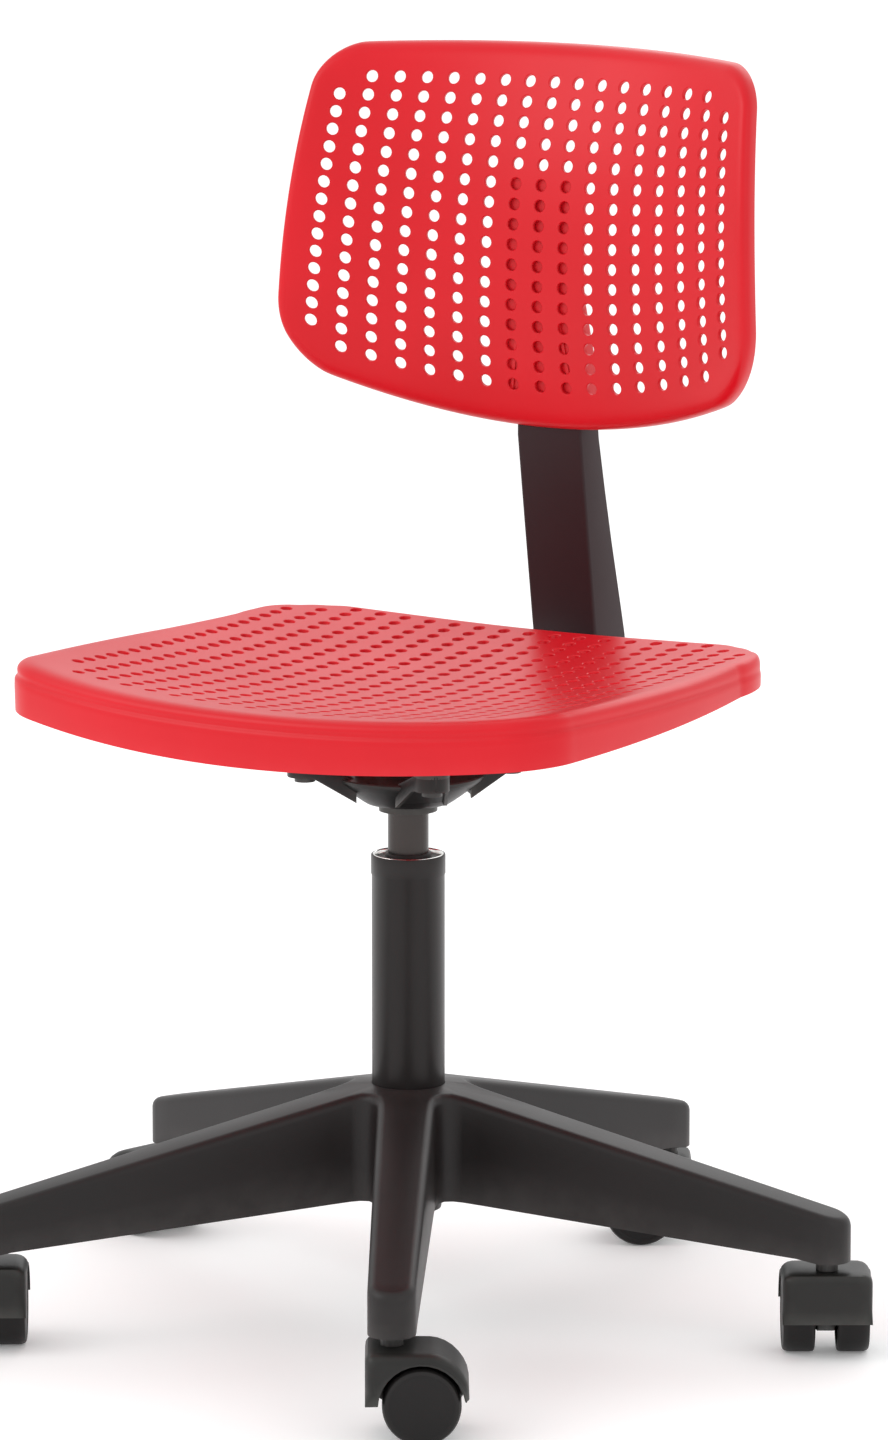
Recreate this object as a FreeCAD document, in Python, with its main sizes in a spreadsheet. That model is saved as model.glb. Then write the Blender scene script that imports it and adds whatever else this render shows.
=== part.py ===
import FreeCAD, Part
import Sketcher
import math
import os

# Swivel desk chair: perforated plastic seat and backrest, gas lift column, star base and
# twin-wheel castors.  Millimetres.  The origin is on the column's axis at floor level,
# +Z is up, the sitter faces -Y and +X is the sitter's left.

V = FreeCAD.Vector
UP = V(0, 0, 1)
ACROSS = V(1, 0, 0)
BACKWARD = V(0, 1, 0)

DIMENSIONS = {
    # star base
    "leg_count": 5, "leg_turn": 12.1,
    "hub_bottom": 91, "hub_shoulder": 146, "hub_top": 162, "hub_radius": 33, "hub_neck": 27.5,
    "leg_root": 26, "leg_root_half": 20, "leg_root_low": 93, "leg_root_top": 169.5,
    "leg_tip": 301, "leg_tip_half": 16, "leg_tip_low": 69.5, "leg_tip_top": 102, "leg_bevel": 6,
    "hollow_root": 40, "hollow_root_half": 16.3, "hollow_root_low": 80, "hollow_root_top": 162,
    "hollow_tip": 277, "hollow_tip_half": 12.5, "hollow_tip_low": 60, "hollow_tip_top": 101,
    "boss_radius": 16, "boss_low": 68, "boss_top": 98.5,
    "stem_radius": 5.5, "socket_top": 92,
    # column
    "tube_radius": 25, "tube_bore": 23, "tube_low": 80, "tube_taper_top": 100,
    "tube_low_radius": 22.5, "tube_floor": 84, "tube_top": 323, "collar_radius": 25.5,
    "collar_low": 314, "running_gap": 0.05,
    "bush_low": 255, "bush_top": 329, "bush_neck": 15.5, "ring_radius": 24.5, "ring_top": 328,
    "ring_bore": 22.6,
    "rod_radius": 5, "rod_low": 74, "rod_top": 248, "shoulder_radius": 12,
    "shoulder_low": 90.3, "shoulder_top": 93, "bearing_radius": 15, "bearing_low": 84,
    "bearing_top": 90, "clip_low": 76, "clip_top": 79.7, "clip_radius": 11,
    "piston_low": 236, "piston_top": 246,
    "cylinder_radius": 14, "cylinder_bore": 12, "cylinder_low": 124, "gland_top": 142,
    "chamber_top": 380, "taper_low": 358, "cylinder_top": 398, "taper_radius": 13,
    "button_radius": 3, "button_low": 385, "button_top": 404,
    # mechanism under the seat
    "socket_radius": 20, "socket_low": 358,
    "dish_low": 360, "dish_low_radius": 30, "dish_rim": 381, "dish_top": 384,
    "dish_radius": 52, "dish_wall": 3,
    "arm_count": 4, "arm_turn": 45, "arm_root": 44, "arm_root_half": 19, "arm_root_low": 369,
    "arm_tip": 78, "arm_tip_half": 12, "arm_tip_low": 385, "arm_tip_top": 396,
    "pad_place": 72, "pad_radius": 12, "pad_low": 385, "pad_top": 404,
    "seat_screw_radius": 3, "seat_screw_top": 424, "seat_screw_head": 7, "screw_head_depth": 4,
    "tongue_half": 14, "tongue_front": 22, "tongue_back": 120, "tongue_top": 390,
    # release lever
    "pivot_place": -28, "lever_height": 408.3, "lever_radius": 4, "lever_inner": 6,
    "lever_outer": -176, "pin_radius": 2.5, "pin_half": 15,
    "ear_out": 13, "ear_in": 10, "ear_base": 386.5, "ear_top": 415, "ear_half": 7,
    "handle_inner": -118, "handle_outer": -190, "handle_half": 15, "handle_thick": 12,
    # back bar
    "bar_half": 26, "bar_low": 390,
    "bar_bend": 46, "bar_inner_bend": 22,
    "bar_screw_radius": 3.9, "bar_screw_low": 378, "bar_screw_top": 410, "bar_screw_head": 8,
    "bar_screw_near": 60, "bar_screw_far": 106,
    "tongue_low": 604, "tongue_shoulder": 690, "tongue_end": 770, "bar_tongue_half": 12,
    # backrest
    "skin": 3, "rim_wall": 3.5, "backrest_rim": 16, "backrest_height": 733.7,
    "sleeve_half": 29, "sleeve_low": 600, "sleeve_top": 776, "fit_gap": 0.3,
    "backing": 2.5, "backing_half": 28,
    "sleeve_back_low": 216, "sleeve_back_top": 206, "back_screw_start": 190,
    "back_screw_length": 24, "back_screw_head_depth": 2,
    "hole_radius": 4.3, "column_pitch": 20.43, "row_pitch": 14.07,
    "back_screw_radius": 2.5, "back_screw_head": 5.5, "back_screw_low": 648,
    "back_screw_high": 712,
    # seat
    "seat_half_width": 215, "seat_half_depth": 195, "seat_centre": -20, "seat_crown": 455.8,
    "seat_dish": 13, "seat_rim_drop": 29.2, "boss_outer": 12,
    # castors
    "trail": 19.5, "wheel_radius": 26, "wheel_width": 22, "wheel_gap": 7.5,
    "axle_radius": 3, "axle_half": 25, "bore_depth": 18, "wheel_rim": 3.5, "wheel_web": 4,
    "wheel_hub": 7.5, "wheel_edge": 2.5, "hood_front": -17.5, "hood_back": 50.5,
    "hood_top": 61, "hood_half": 30.5, "hood_lip": 27, "hood_slope": 13, "hood_fall": 17,
    "hood_nose": 4, "hood_crown": 18, "hood_heel": 14, "arch_radius": 28.5, "web_half": 6.5,
    "neck_radius": 7.5, "neck_low": 61.3, "spigot_radius": 5, "spigot_low": 46,
    "grip_low": 82, "grip_high": 88, "grip_radius": 4.6, "stem_top": 91,
}

# Each castor's leg, counted from leg_turn, and the direction it trails in, in degrees from +X.
CASTORS = {"left": (0, 122.2), "back": (1, 212.2), "right": (2, 167),
           "front_right": (3, 122.2), "front_left": (4, 32.2)}

doc = FreeCAD.newDocument("desk_chair")
sheet = doc.addObject("Spreadsheet::Sheet", "Sizes")
for row, (alias, amount) in enumerate(DIMENSIONS.items(), start=1):
    sheet.set("A%d" % row, alias)
    sheet.set("B%d" % row, str(amount))
    sheet.setAlias("B%d" % row, alias)
doc.recompute()

nodes = []


def size(alias):
    return float(sheet.get(alias))


# A length is written as words, such as "rod_top - cap_depth", for the sheet and for Python.
def number(words):
    total = 0.0
    sign = 1.0
    for word in words.split():
        if word in "+-":
            sign = 1.0 if word == "+" else -1.0
        else:
            total += sign * (float(word) if word[0].isdigit() else size(word))
    return total


def bound(words):
    parts = []
    for word in words.split():
        plain = word in "+-" or word[0].isdigit()
        parts.append(word if plain else "Sizes." + word)
    return " ".join(parts)


def keep(item, label, placement=None):
    item.Label = label
    if placement is not None:
        item.Placement = placement
    nodes.append(item)
    return item


# ---- PartDesign helpers ----

def new_body(name):
    return doc.addObject("PartDesign::Body", name)


def sketch_on(body, role, height="0"):
    plane = [face for face in body.Origin.OriginFeatures if face.Role == role][0]
    sketch = body.newObject("Sketcher::SketchObject", body.Name + "_sketch")
    sketch.AttachmentSupport = [(plane, "")]
    sketch.MapMode = "FlatFace"
    sketch.AttachmentOffset = FreeCAD.Placement(V(0, 0, number(height)), FreeCAD.Rotation())
    sketch.setExpression("AttachmentOffset.Base.z", bound(height))
    return sketch


def fix(sketch, edge, point, words, direction):
    if words == "0":
        axis = -2 if direction == "DistanceX" else -1
        sketch.addConstraint(Sketcher.Constraint("PointOnObject", edge, point, axis))
        return
    place = sketch.addConstraint(
        Sketcher.Constraint(direction, -1, 1, edge, point, number(words)))
    sketch.setExpression("Constraints[%d]" % place, bound(words))


def outline(sketch, corners):
    points = [V(number(across), number(along), 0) for across, along in corners]
    for place, start in enumerate(points):
        end = points[(place + 1) % len(points)]
        sketch.addGeometry(Part.LineSegment(start, end), False)
    for place, (across, along) in enumerate(corners):
        before = (place - 1) % len(corners)
        sketch.addConstraint(Sketcher.Constraint("Coincident", before, 2, place, 1))
        fix(sketch, place, 1, across, "DistanceX")
        fix(sketch, place, 1, along, "DistanceY")


def circle(sketch, radius, across="0", along="0"):
    centre = V(number(across), number(along), 0)
    edge = sketch.addGeometry(Part.Circle(centre, V(0, 0, 1), number(radius)), False)
    place = sketch.addConstraint(Sketcher.Constraint("Radius", edge, number(radius)))
    sketch.setExpression("Constraints[%d]" % place, bound(radius))
    fix(sketch, edge, 3, across, "DistanceX")
    fix(sketch, edge, 3, along, "DistanceY")


def revolve(body, corners):
    sketch = sketch_on(body, "XZ_Plane")
    outline(sketch, corners)
    turn = body.newObject("PartDesign::Revolution", body.Name + "_turn")
    turn.Profile = sketch
    turn.ReferenceAxis = (sketch, ["V_Axis"])
    turn.Angle = 360
    return turn


def extrude(body, kind, sketch, length, both_ways=False, reverse=False):
    feature = body.newObject("PartDesign::" + kind, body.Name + "_" + kind.lower())
    feature.Profile = sketch
    feature.setExpression("Length", bound(length))
    feature.SideType = "Symmetric" if both_ways else "One side"
    feature.Reversed = reverse
    return feature


def loft(body, kind, first, second):
    feature = body.newObject("PartDesign::" + kind, body.Name + "_loft")
    feature.Profile = first
    feature.Sections = [second]
    feature.Ruled = True
    return feature


def polar(body, originals, count):
    axis = [line for line in body.Origin.OriginFeatures if line.Role == "Z_Axis"][0]
    pattern = body.newObject("PartDesign::PolarPattern", body.Name + "_pattern")
    pattern.Originals = originals
    pattern.Axis = (axis, [""])
    pattern.Angle = 360
    pattern.setExpression("Occurrences", bound(count))
    body.Tip = pattern
    return pattern


def turned(name, corners, placement=None):
    body = new_body(name)
    revolve(body, corners)
    return keep(body, name, placement)


def group(name, members):
    compound = doc.addObject("Part::Compound", name)
    compound.Links = members
    return keep(compound, name)


def cylinder(name, radius, length):
    item = doc.addObject("Part::Cylinder", name)
    item.setExpression("Radius", bound(radius))
    item.setExpression("Height", bound(length))
    return item


# ---- star base ----

def leg_section(body, place, half, low, top):
    sketch = sketch_on(body, "YZ_Plane", place)
    outline(sketch, [
        ("- " + half, low), (half, low), (half, top + " - leg_bevel"),
        (half + " - leg_bevel", top), ("leg_bevel - " + half, top),
        ("- " + half, top + " - leg_bevel")])
    return sketch


def plain_section(body, place, half, low, top):
    sketch = sketch_on(body, "YZ_Plane", place)
    outline(sketch, [("- " + half, low), (half, low), (half, top), ("- " + half, top)])
    return sketch


def make_star_base():
    body = new_body("star_base")
    revolve(body, [
        ("tube_radius", "hub_bottom"), ("hub_radius", "hub_bottom"),
        ("hub_radius", "hub_shoulder"), ("hub_neck", "hub_top"), ("tube_radius", "hub_top")])
    leg = loft(body, "AdditiveLoft",
               leg_section(body, "leg_root", "leg_root_half", "leg_root_low", "leg_root_top"),
               leg_section(body, "leg_tip", "leg_tip_half", "leg_tip_low", "leg_tip_top"))
    boss_sketch = sketch_on(body, "XY_Plane", "boss_low")
    circle(boss_sketch, "boss_radius", "leg_tip")
    boss = extrude(body, "Pad", boss_sketch, "boss_top - boss_low")
    hollow = loft(body, "SubtractiveLoft",
                  plain_section(body, "hollow_root", "hollow_root_half", "hollow_root_low",
                                "hollow_root_top"),
                  plain_section(body, "hollow_tip", "hollow_tip_half", "hollow_tip_low",
                                "hollow_tip_top"))
    socket_sketch = sketch_on(body, "XY_Plane", "socket_top")
    circle(socket_sketch, "stem_radius", "leg_tip")
    socket = extrude(body, "Pocket", socket_sketch, "socket_top - boss_low + 1")
    polar(body, [leg, boss, hollow, socket], "leg_count")
    keep(body, "star_base", FreeCAD.Placement(V(), FreeCAD.Rotation(UP, size("leg_turn"))))


# ---- column ----

def make_column():
    turned("column_tube", [
        ("rod_radius + running_gap", "tube_low"), ("tube_low_radius", "tube_low"),
        ("tube_radius", "tube_taper_top"), ("tube_radius", "collar_low"),
        ("collar_radius", "collar_low + 1"), ("collar_radius", "tube_top"),
        ("tube_bore", "tube_top"), ("tube_bore", "tube_taper_top"),
        ("tube_low_radius - 3", "tube_floor"), ("rod_radius + running_gap", "tube_floor")])
    turned("guide_bush", [
        ("cylinder_radius + running_gap", "bush_low"), ("tube_bore", "bush_low"),
        ("tube_bore", "tube_top"), ("ring_bore", "tube_top"), ("bush_neck", "ring_top - 2"),
        ("bush_neck", "bush_top"), ("cylinder_radius + running_gap", "bush_top")])
    turned("tube_ring", [
        ("ring_bore", "tube_top"), ("ring_radius", "tube_top"),
        ("ring_radius", "ring_top - 1"), ("ring_radius - 1", "ring_top"),
        ("ring_bore", "ring_top")])
    turned("thrust_bearing", [
        ("rod_radius + running_gap", "bearing_low"), ("bearing_radius", "bearing_low"),
        ("bearing_radius", "bearing_top"), ("rod_radius + running_gap", "bearing_top")])
    turned("piston_rod", [
        ("0", "rod_low"), ("rod_radius", "rod_low"), ("rod_radius", "shoulder_low"),
        ("shoulder_radius", "shoulder_low"), ("shoulder_radius", "shoulder_top"),
        ("rod_radius", "shoulder_top"), ("rod_radius", "rod_top"), ("0", "rod_top")])
    turned("retaining_clip", [
        ("rod_radius", "clip_low"), ("clip_radius", "clip_low"), ("clip_radius", "clip_top"),
        ("rod_radius", "clip_top")])
    turned("gas_piston", [
        ("rod_radius", "piston_low"), ("cylinder_bore - running_gap", "piston_low"),
        ("cylinder_bore - running_gap", "piston_top"), ("rod_radius", "piston_top")])
    turned("lift_cylinder", [
        ("cylinder_bore", "cylinder_low"), ("cylinder_radius", "cylinder_low"),
        ("cylinder_radius", "taper_low"), ("taper_radius", "cylinder_top"),
        ("button_radius + running_gap", "cylinder_top"),
        ("button_radius + running_gap", "chamber_top"), ("cylinder_bore", "chamber_top")])
    turned("cylinder_gland", [
        ("rod_radius + running_gap", "cylinder_low"), ("cylinder_bore", "cylinder_low"),
        ("cylinder_bore", "gland_top"), ("rod_radius + running_gap", "gland_top")])
    turned("release_button", [
        ("0", "button_low"), ("button_radius", "button_low"),
        ("button_radius", "button_top - 1"), ("button_radius - 1", "button_top"),
        ("0", "button_top")])


# ---- mechanism under the seat ----

def four_corners():
    place = size("pad_place")
    turn = size("arm_turn")
    places = []
    for step in range(int(size("arm_count"))):
        angle = math.radians(turn + step * 360 / size("arm_count"))
        places.append(V(place * math.cos(angle), place * math.sin(angle), 0))
    return places


def make_seat_plate():
    turned("taper_socket", [
        ("cylinder_radius", "socket_low"), ("socket_radius", "socket_low"),
        ("socket_radius", "cylinder_top"), ("taper_radius", "cylinder_top")])
    body = new_body("seat_plate")
    revolve(body, [
        ("socket_radius", "dish_low"), ("dish_low_radius", "dish_low"),
        ("dish_radius", "dish_rim"), ("dish_radius", "dish_top"),
        ("socket_radius", "dish_top"), ("socket_radius", "dish_top - dish_wall"),
        ("dish_radius - 5", "dish_rim"), ("dish_low_radius - 1", "dish_low + dish_wall"),
        ("socket_radius", "dish_low + dish_wall")])
    arm = loft(body, "AdditiveLoft",
               plain_section(body, "arm_root", "arm_root_half", "arm_root_low", "dish_top"),
               plain_section(body, "arm_tip", "arm_tip_half", "arm_tip_low", "arm_tip_top"))
    pad_sketch = sketch_on(body, "XY_Plane", "pad_low")
    circle(pad_sketch, "pad_radius", "pad_place")
    pad = extrude(body, "Pad", pad_sketch, "pad_top - pad_low")
    hole_sketch = sketch_on(body, "XY_Plane", "pad_top")
    circle(hole_sketch, "seat_screw_radius + fit_gap", "pad_place")
    hole = extrude(body, "Pocket", hole_sketch, "pad_top - arm_root_low")
    seat_sketch = sketch_on(body, "XY_Plane", "pad_low")
    circle(seat_sketch, "seat_screw_head + fit_gap", "pad_place")
    head_room = extrude(body, "Pocket", seat_sketch, "pad_low - arm_root_low")
    polar(body, [arm, pad, hole, head_room], "arm_count")
    keep(body, "seat_plate", FreeCAD.Placement(V(), FreeCAD.Rotation(UP, size("arm_turn"))))


def make_bar_bracket():
    body = new_body("bar_bracket")
    sketch = sketch_on(body, "XY_Plane", "dish_top")
    outline(sketch, [
        ("- tongue_half", "tongue_front"), ("tongue_half", "tongue_front"),
        ("tongue_half", "tongue_back"), ("- tongue_half", "tongue_back")])
    for place in ("bar_screw_near", "bar_screw_far"):
        circle(sketch, "bar_screw_radius + fit_gap", "0", place)
    extrude(body, "Pad", sketch, "tongue_top - dish_top")
    keep(body, "bar_bracket")


def screw(name, radius, low, top, head, head_depth):
    return turned_member(name, [
        ("0", low + " - " + head_depth), (head, low + " - " + head_depth), (head, low),
        (radius, low), (radius, top), ("0", top)])


# A turned body that is one of a group's members, so it isn't a node of its own.
def turned_member(name, corners):
    body = new_body(name)
    revolve(body, corners)
    return body


def make_seat_screws():
    members = []
    for place, corner in enumerate(four_corners()):
        item = screw("seat_screw_%d" % place, "seat_screw_radius", "pad_low", "seat_screw_top",
                     "seat_screw_head", "screw_head_depth")
        item.Placement = FreeCAD.Placement(corner, FreeCAD.Rotation())
        members.append(item)
    group("seat_screws", members)


def make_bar_screws():
    members = []
    for place in ("bar_screw_near", "bar_screw_far"):
        item = screw(place + "_bolt", "bar_screw_radius", "bar_screw_low", "bar_screw_top",
                     "bar_screw_head", "screw_head_depth")
        item.Placement = FreeCAD.Placement(V(0, size(place), 0), FreeCAD.Rotation())
        members.append(item)
    group("bar_screws", members)


# ---- release lever ----

def make_lever():
    bracket = new_body("lever_bracket")
    sketch = sketch_on(bracket, "YZ_Plane", "pivot_place")
    outline(sketch, [
        ("- ear_out", "dish_top"), ("ear_out", "dish_top"), ("ear_out", "ear_top"),
        ("ear_in", "ear_top"), ("ear_in", "ear_base"), ("- ear_in", "ear_base"),
        ("- ear_in", "ear_top"), ("- ear_out", "ear_top")])
    extrude(bracket, "Pad", sketch, "ear_half + ear_half", both_ways=True)
    hole_sketch = sketch_on(bracket, "XZ_Plane")
    circle(hole_sketch, "pin_radius", "pivot_place", "lever_height")
    extrude(bracket, "Pocket", hole_sketch, "ear_out + ear_out + 2", both_ways=True)
    keep(bracket, "lever_bracket")

    pin = cylinder("lever_pin", "pin_radius", "pin_half + pin_half")
    middle = V(size("pivot_place"), -size("pin_half"), size("lever_height"))
    keep(pin, "lever_pin", FreeCAD.Placement(middle, FreeCAD.Rotation(ACROSS, -90)))

    rod = new_body("lever_rod")
    sketch = sketch_on(rod, "YZ_Plane", "lever_outer")
    circle(sketch, "lever_radius", "0", "lever_height")
    extrude(rod, "Pad", sketch, "lever_inner - lever_outer")
    hole_sketch = sketch_on(rod, "XZ_Plane")
    circle(hole_sketch, "pin_radius + running_gap", "pivot_place", "lever_height")
    extrude(rod, "Pocket", hole_sketch, "lever_radius + lever_radius + 2", both_ways=True)
    keep(rod, "lever_rod")

    handle = new_body("lever_handle")
    sketch = sketch_on(handle, "XY_Plane", "lever_height")
    outline(sketch, [
        ("handle_outer", "- handle_half"), ("handle_inner", "5 - handle_half"),
        ("handle_inner", "handle_half - 5"), ("handle_outer", "handle_half")])
    extrude(handle, "Pad", sketch, "handle_thick", both_ways=True)
    bore_sketch = sketch_on(handle, "YZ_Plane", "handle_inner")
    circle(bore_sketch, "lever_radius", "0", "lever_height")
    extrude(handle, "Pocket", bore_sketch, "handle_inner - lever_outer")
    keep(handle, "lever_handle")


# ---- back bar ----

# The bar's side view, as (backward, height): along under the seat, round the bend and up
# behind it, narrowing all the way to its top.
BAR_SIDE = [(30, 390), (262, 390), (252, 430), (228, 516), (210, 590), (200, 765), (184, 765),
            (182.7, 595), (203.3, 458), (211, 414), (30, 414)]
BAR_HEEL = 1
BAR_CROOK = 9


# The edges across a body whose middle is at one of the given places in its side view.
def edges_across(shape, length, places, axis):
    names = []
    for place, edge in enumerate(shape.Edges, start=1):
        middle = edge.CenterOfMass
        for along, height in places:
            near = math.hypot(middle.dot(axis) - along, middle.z - height) < 1
            if near and abs(edge.Length - length) < 1:
                names.append("Edge%d" % place)
    return names


def round_across(body, base, length, places, axis, radius):
    doc.recompute()
    fillet = body.newObject("PartDesign::Fillet", body.Name + "_round")
    fillet.Base = (base, edges_across(base.Shape, number(length), places, axis))
    fillet.setExpression("Radius", bound(radius))
    return fillet


def make_back_bar():
    body = new_body("back_bar")
    sketch = sketch_on(body, "YZ_Plane")
    outline(sketch, [("%g" % backward, "%g" % height) for backward, height in BAR_SIDE])
    pad = extrude(body, "Pad", sketch, "bar_half + bar_half", both_ways=True)
    width = "bar_half + bar_half"
    outer = round_across(body, pad, width, [BAR_SIDE[BAR_HEEL]], BACKWARD, "bar_bend")
    round_across(body, outer, width, [BAR_SIDE[BAR_CROOK]], BACKWARD, "bar_inner_bend")
    hole_sketch = sketch_on(body, "XY_Plane", "bar_screw_top")
    for place in ("bar_screw_near", "bar_screw_far"):
        circle(hole_sketch, "bar_screw_radius", "0", place)
    extrude(body, "Pocket", hole_sketch, "bar_screw_top - bar_low + 1")
    screw_sketch = sketch_on(body, "XZ_Plane")
    for height in ("back_screw_low", "back_screw_high"):
        circle(screw_sketch, "back_screw_radius", "0", height)
    holes = extrude(body, "Pocket", screw_sketch, "bar_half")
    holes.Type = "ThroughAll"
    for sign in ("", "- "):
        # the bar narrows to a tongue inside the backrest's sleeve
        tongue_sketch = sketch_on(body, "XZ_Plane")
        outline(tongue_sketch, [
            (sign + "bar_half", "tongue_low"), (sign + "bar_tongue_half", "tongue_shoulder"),
            (sign + "bar_tongue_half", "tongue_end"), (sign + "hub_radius", "tongue_end"),
            (sign + "hub_radius", "tongue_low")])
        side = extrude(body, "Pocket", tongue_sketch, "bar_half")
        side.Type = "ThroughAll"
    keep(body, "back_bar")


# ---- shells ----

# How far a boss or sleeve runs into the skin that it is joined to.
OVERLAP = 0.5


def smooth_face(point_at, across_steps, along_steps):
    rows = []
    for across in across_steps:
        rows.append([point_at(across, along) for along in along_steps])
    surface = Part.BSplineSurface()
    surface.interpolate(rows)
    return surface.toShape()


def spread(low, high, count):
    return [low + (high - low) * step / (count - 1) for step in range(count)]


# The backrest's front skin: rolled about an upright axis and leaning back at the top.
def backrest_point(across, along):
    high = along / 100
    bend = (1.897 - 0.084 * high + 0.155 * high ** 2) / 1000
    lean = 0.0768 * along + 11.21 * high ** 2 + 0.904 * high ** 3 + 0.157 * high ** 4
    roll = (1 - math.cos(across * bend)) / bend + 0.359 * (across / 100) ** 4
    rise = 4.91 * (across / 100) ** 2
    return V(math.sin(across * bend) / bend, 168.3 + lean - roll,
             size("backrest_height") + 0.997 * along + rise)


BACKREST_ROWS = 16
BACKREST_SIDE_COLUMNS = 8

# The span, front to back, of the blocks that the backrest is cut from, and a drill's reach.
BACKREST_START = 90
BACKREST_AHEAD = 150
BACKREST_REACH = 160
DRILL_REACH = 60


def backrest_holes():
    holes = []
    for column in range(-BACKREST_SIDE_COLUMNS, BACKREST_SIDE_COLUMNS + 1):
        outermost = abs(column) == BACKREST_SIDE_COLUMNS
        for row in range(BACKREST_ROWS):
            if outermost and row in (0, BACKREST_ROWS - 1):
                continue
            along = (BACKREST_ROWS / 2 - 0.5 - row) * size("row_pitch")
            along *= 1 - 0.0482 * (column / 5) ** 2
            across = column * size("column_pitch") * (1 - 0.0482 * along / 100)
            holes.append(backrest_point(across, along))
    return holes


# Half of the backrest's outline seen from the front, from the top middle round to the
# bottom middle; each stretch is an arc through three points (across, height).
BACKREST_ARCS = [
    [(0, 130.5), (80, 129.5), (150, 127)],
    [(150, 127), (168.5, 116), (177, 99)],
    [(177, 99), (186.3, 15), (190.8, -50)],
    [(190.8, -50), (184.5, -79), (161, -105)],
    [(161, -105), (88, -127), (0, -136)]]


def mirrored_wire(arcs, place_point):
    edges = []
    for arc in arcs:
        start, middle, end = [place_point(*point) for point in arc]
        edges.append(Part.Arc(start, middle, end).toShape())
    for arc in reversed(arcs):
        start, middle, end = [place_point(-across, along) for across, along in reversed(arc)]
        edges.append(Part.Arc(start, middle, end).toShape())
    return Part.Wire(edges)


def drilled(blank, centres, radius, start, reach):
    tools = [Part.makeCylinder(radius, reach.Length, centre + start, reach)
             for centre in centres]
    return blank.cut(Part.makeCompound(tools))


# The tongue's front view with a margin all round, as a block from front to back.
def sleeve_front(margin, low, top):
    half = size("bar_half") + margin
    tongue = size("bar_tongue_half") + margin
    right = [(half, low), (half, size("tongue_low")), (tongue, size("tongue_shoulder")),
             (tongue, top)]
    left = [(-across, height) for across, height in reversed(right)]
    corners = [V(across, BACKREST_START, height) for across, height in right + left]
    return Part.Face(Part.makePolygon(corners + corners[:1])).extrude(V(0, BACKREST_REACH, 0))


def make_backrest():
    skin = size("skin")
    rim = size("backrest_rim")
    half = size("sleeve_half")
    face = smooth_face(backrest_point, spread(-215, 215, 11), spread(-160, 150, 11))
    height = size("backrest_height")
    reach = V(0, BACKREST_REACH, 0)
    wire = mirrored_wire(BACKREST_ARCS, lambda across, up: V(across, BACKREST_START, height + up))
    block = Part.Face(wire).extrude(reach)
    inset = Part.Face(wire.makeOffset2D(-size("rim_wall"))).extrude(reach)
    tray = block.common(face.extrude(V(0, rim, 0)))
    behind = face.copy()
    behind.translate(V(0, skin, 0))
    tray = tray.cut(inset.common(behind.extrude(V(0, DRILL_REACH, 0))))
    tray = drilled(tray, backrest_holes(), size("hole_radius"), V(0, -DRILL_REACH / 4, 0),
                   V(0, DRILL_REACH / 2, 0))

    low = size("sleeve_low")
    top = size("sleeve_top")
    back_low = size("sleeve_back_low")
    back_top = size("sleeve_back_top")
    corners = [V(-half, BACKREST_AHEAD, low), V(-half, back_low, low), V(-half, back_top, top),
               V(-half, BACKREST_AHEAD, top)]
    side = Part.Face(Part.makePolygon(corners + corners[:1]))
    sleeve = side.extrude(V(2 * half, 0, 0))
    ahead = face.copy()
    ahead.translate(V(0, skin - OVERLAP, 0))
    sleeve = sleeve.cut(ahead.extrude(V(0, -DRILL_REACH, 0)))
    gap = size("fit_gap")
    bar_half = size("bar_half") + gap
    wall = size("sleeve_half") - bar_half
    front_view = sleeve_front(wall + gap, low, top)
    sleeve = sleeve.common(front_view)
    backing = behind.copy()
    backing.translate(V(0, -OVERLAP, 0))
    backing = backing.extrude(V(0, size("backing") + OVERLAP, 0))
    backing_half = size("backing_half")
    panel = Part.makeBox(2 * backing_half, BACKREST_REACH, top - low,
                         V(-backing_half, BACKREST_START, low))
    tray = tray.fuse(backing.common(panel).common(inset))
    outer_foot, outer_top, inner_top, inner_foot = BAR_SIDE[4:8]
    bar_corners = [V(-bar_half, backward, up) for backward, up in (
        (inner_foot[0] - gap, outer_foot[1]), (inner_top[0] - gap, inner_top[1] + gap),
        (outer_top[0] + gap, outer_top[1] + gap), (outer_foot[0] + gap, outer_foot[1]))]
    room = Part.Face(Part.makePolygon(bar_corners + bar_corners[:1]))
    room = room.extrude(V(2 * bar_half, 0, 0))
    shell = tray.fuse(sleeve).cut(room.common(sleeve_front(gap, outer_foot[1], top)))
    screws = [V(0, size("back_screw_start"), size("back_screw_low")),
              V(0, size("back_screw_start"), size("back_screw_high"))]
    shell = drilled(shell, screws, size("back_screw_radius") + gap, V(), V(0, DRILL_REACH, 0))
    item = doc.addObject("Part::Feature", "backrest_shell")
    item.Shape = shell
    keep(item, "backrest_shell")

    members = []
    for height_name in ("back_screw_low", "back_screw_high"):
        item = turned_member(height_name + "_screw", [
            ("0", "0"), ("back_screw_head", "0"), ("back_screw_head", "back_screw_head_depth"),
            ("back_screw_radius", "back_screw_head_depth"),
            ("back_screw_radius", "back_screw_length"), ("0", "back_screw_length")])
        share = (size(height_name) - low) / (top - low)
        back = back_low + (back_top - back_low) * share + size("back_screw_head_depth") + gap
        item.Placement = FreeCAD.Placement(V(0, back, size(height_name)),
                                           FreeCAD.Rotation(ACROSS, 90))
        members.append(item)
    group("back_screws", members)


# The seat's top: a dish with raised sides, as height over the plan.
def seat_share(across, along):
    wide = across / size("seat_half_width")
    deep = (along - size("seat_centre")) / size("seat_half_depth")
    return wide, deep


def seat_edge_height(across, along):
    wide, deep = seat_share(across, along)
    return (size("seat_crown") + 10 * wide ** 2 + 0.4 * deep + 3.6 * deep ** 2
            - 2.9 * wide ** 2 * deep)


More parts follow.
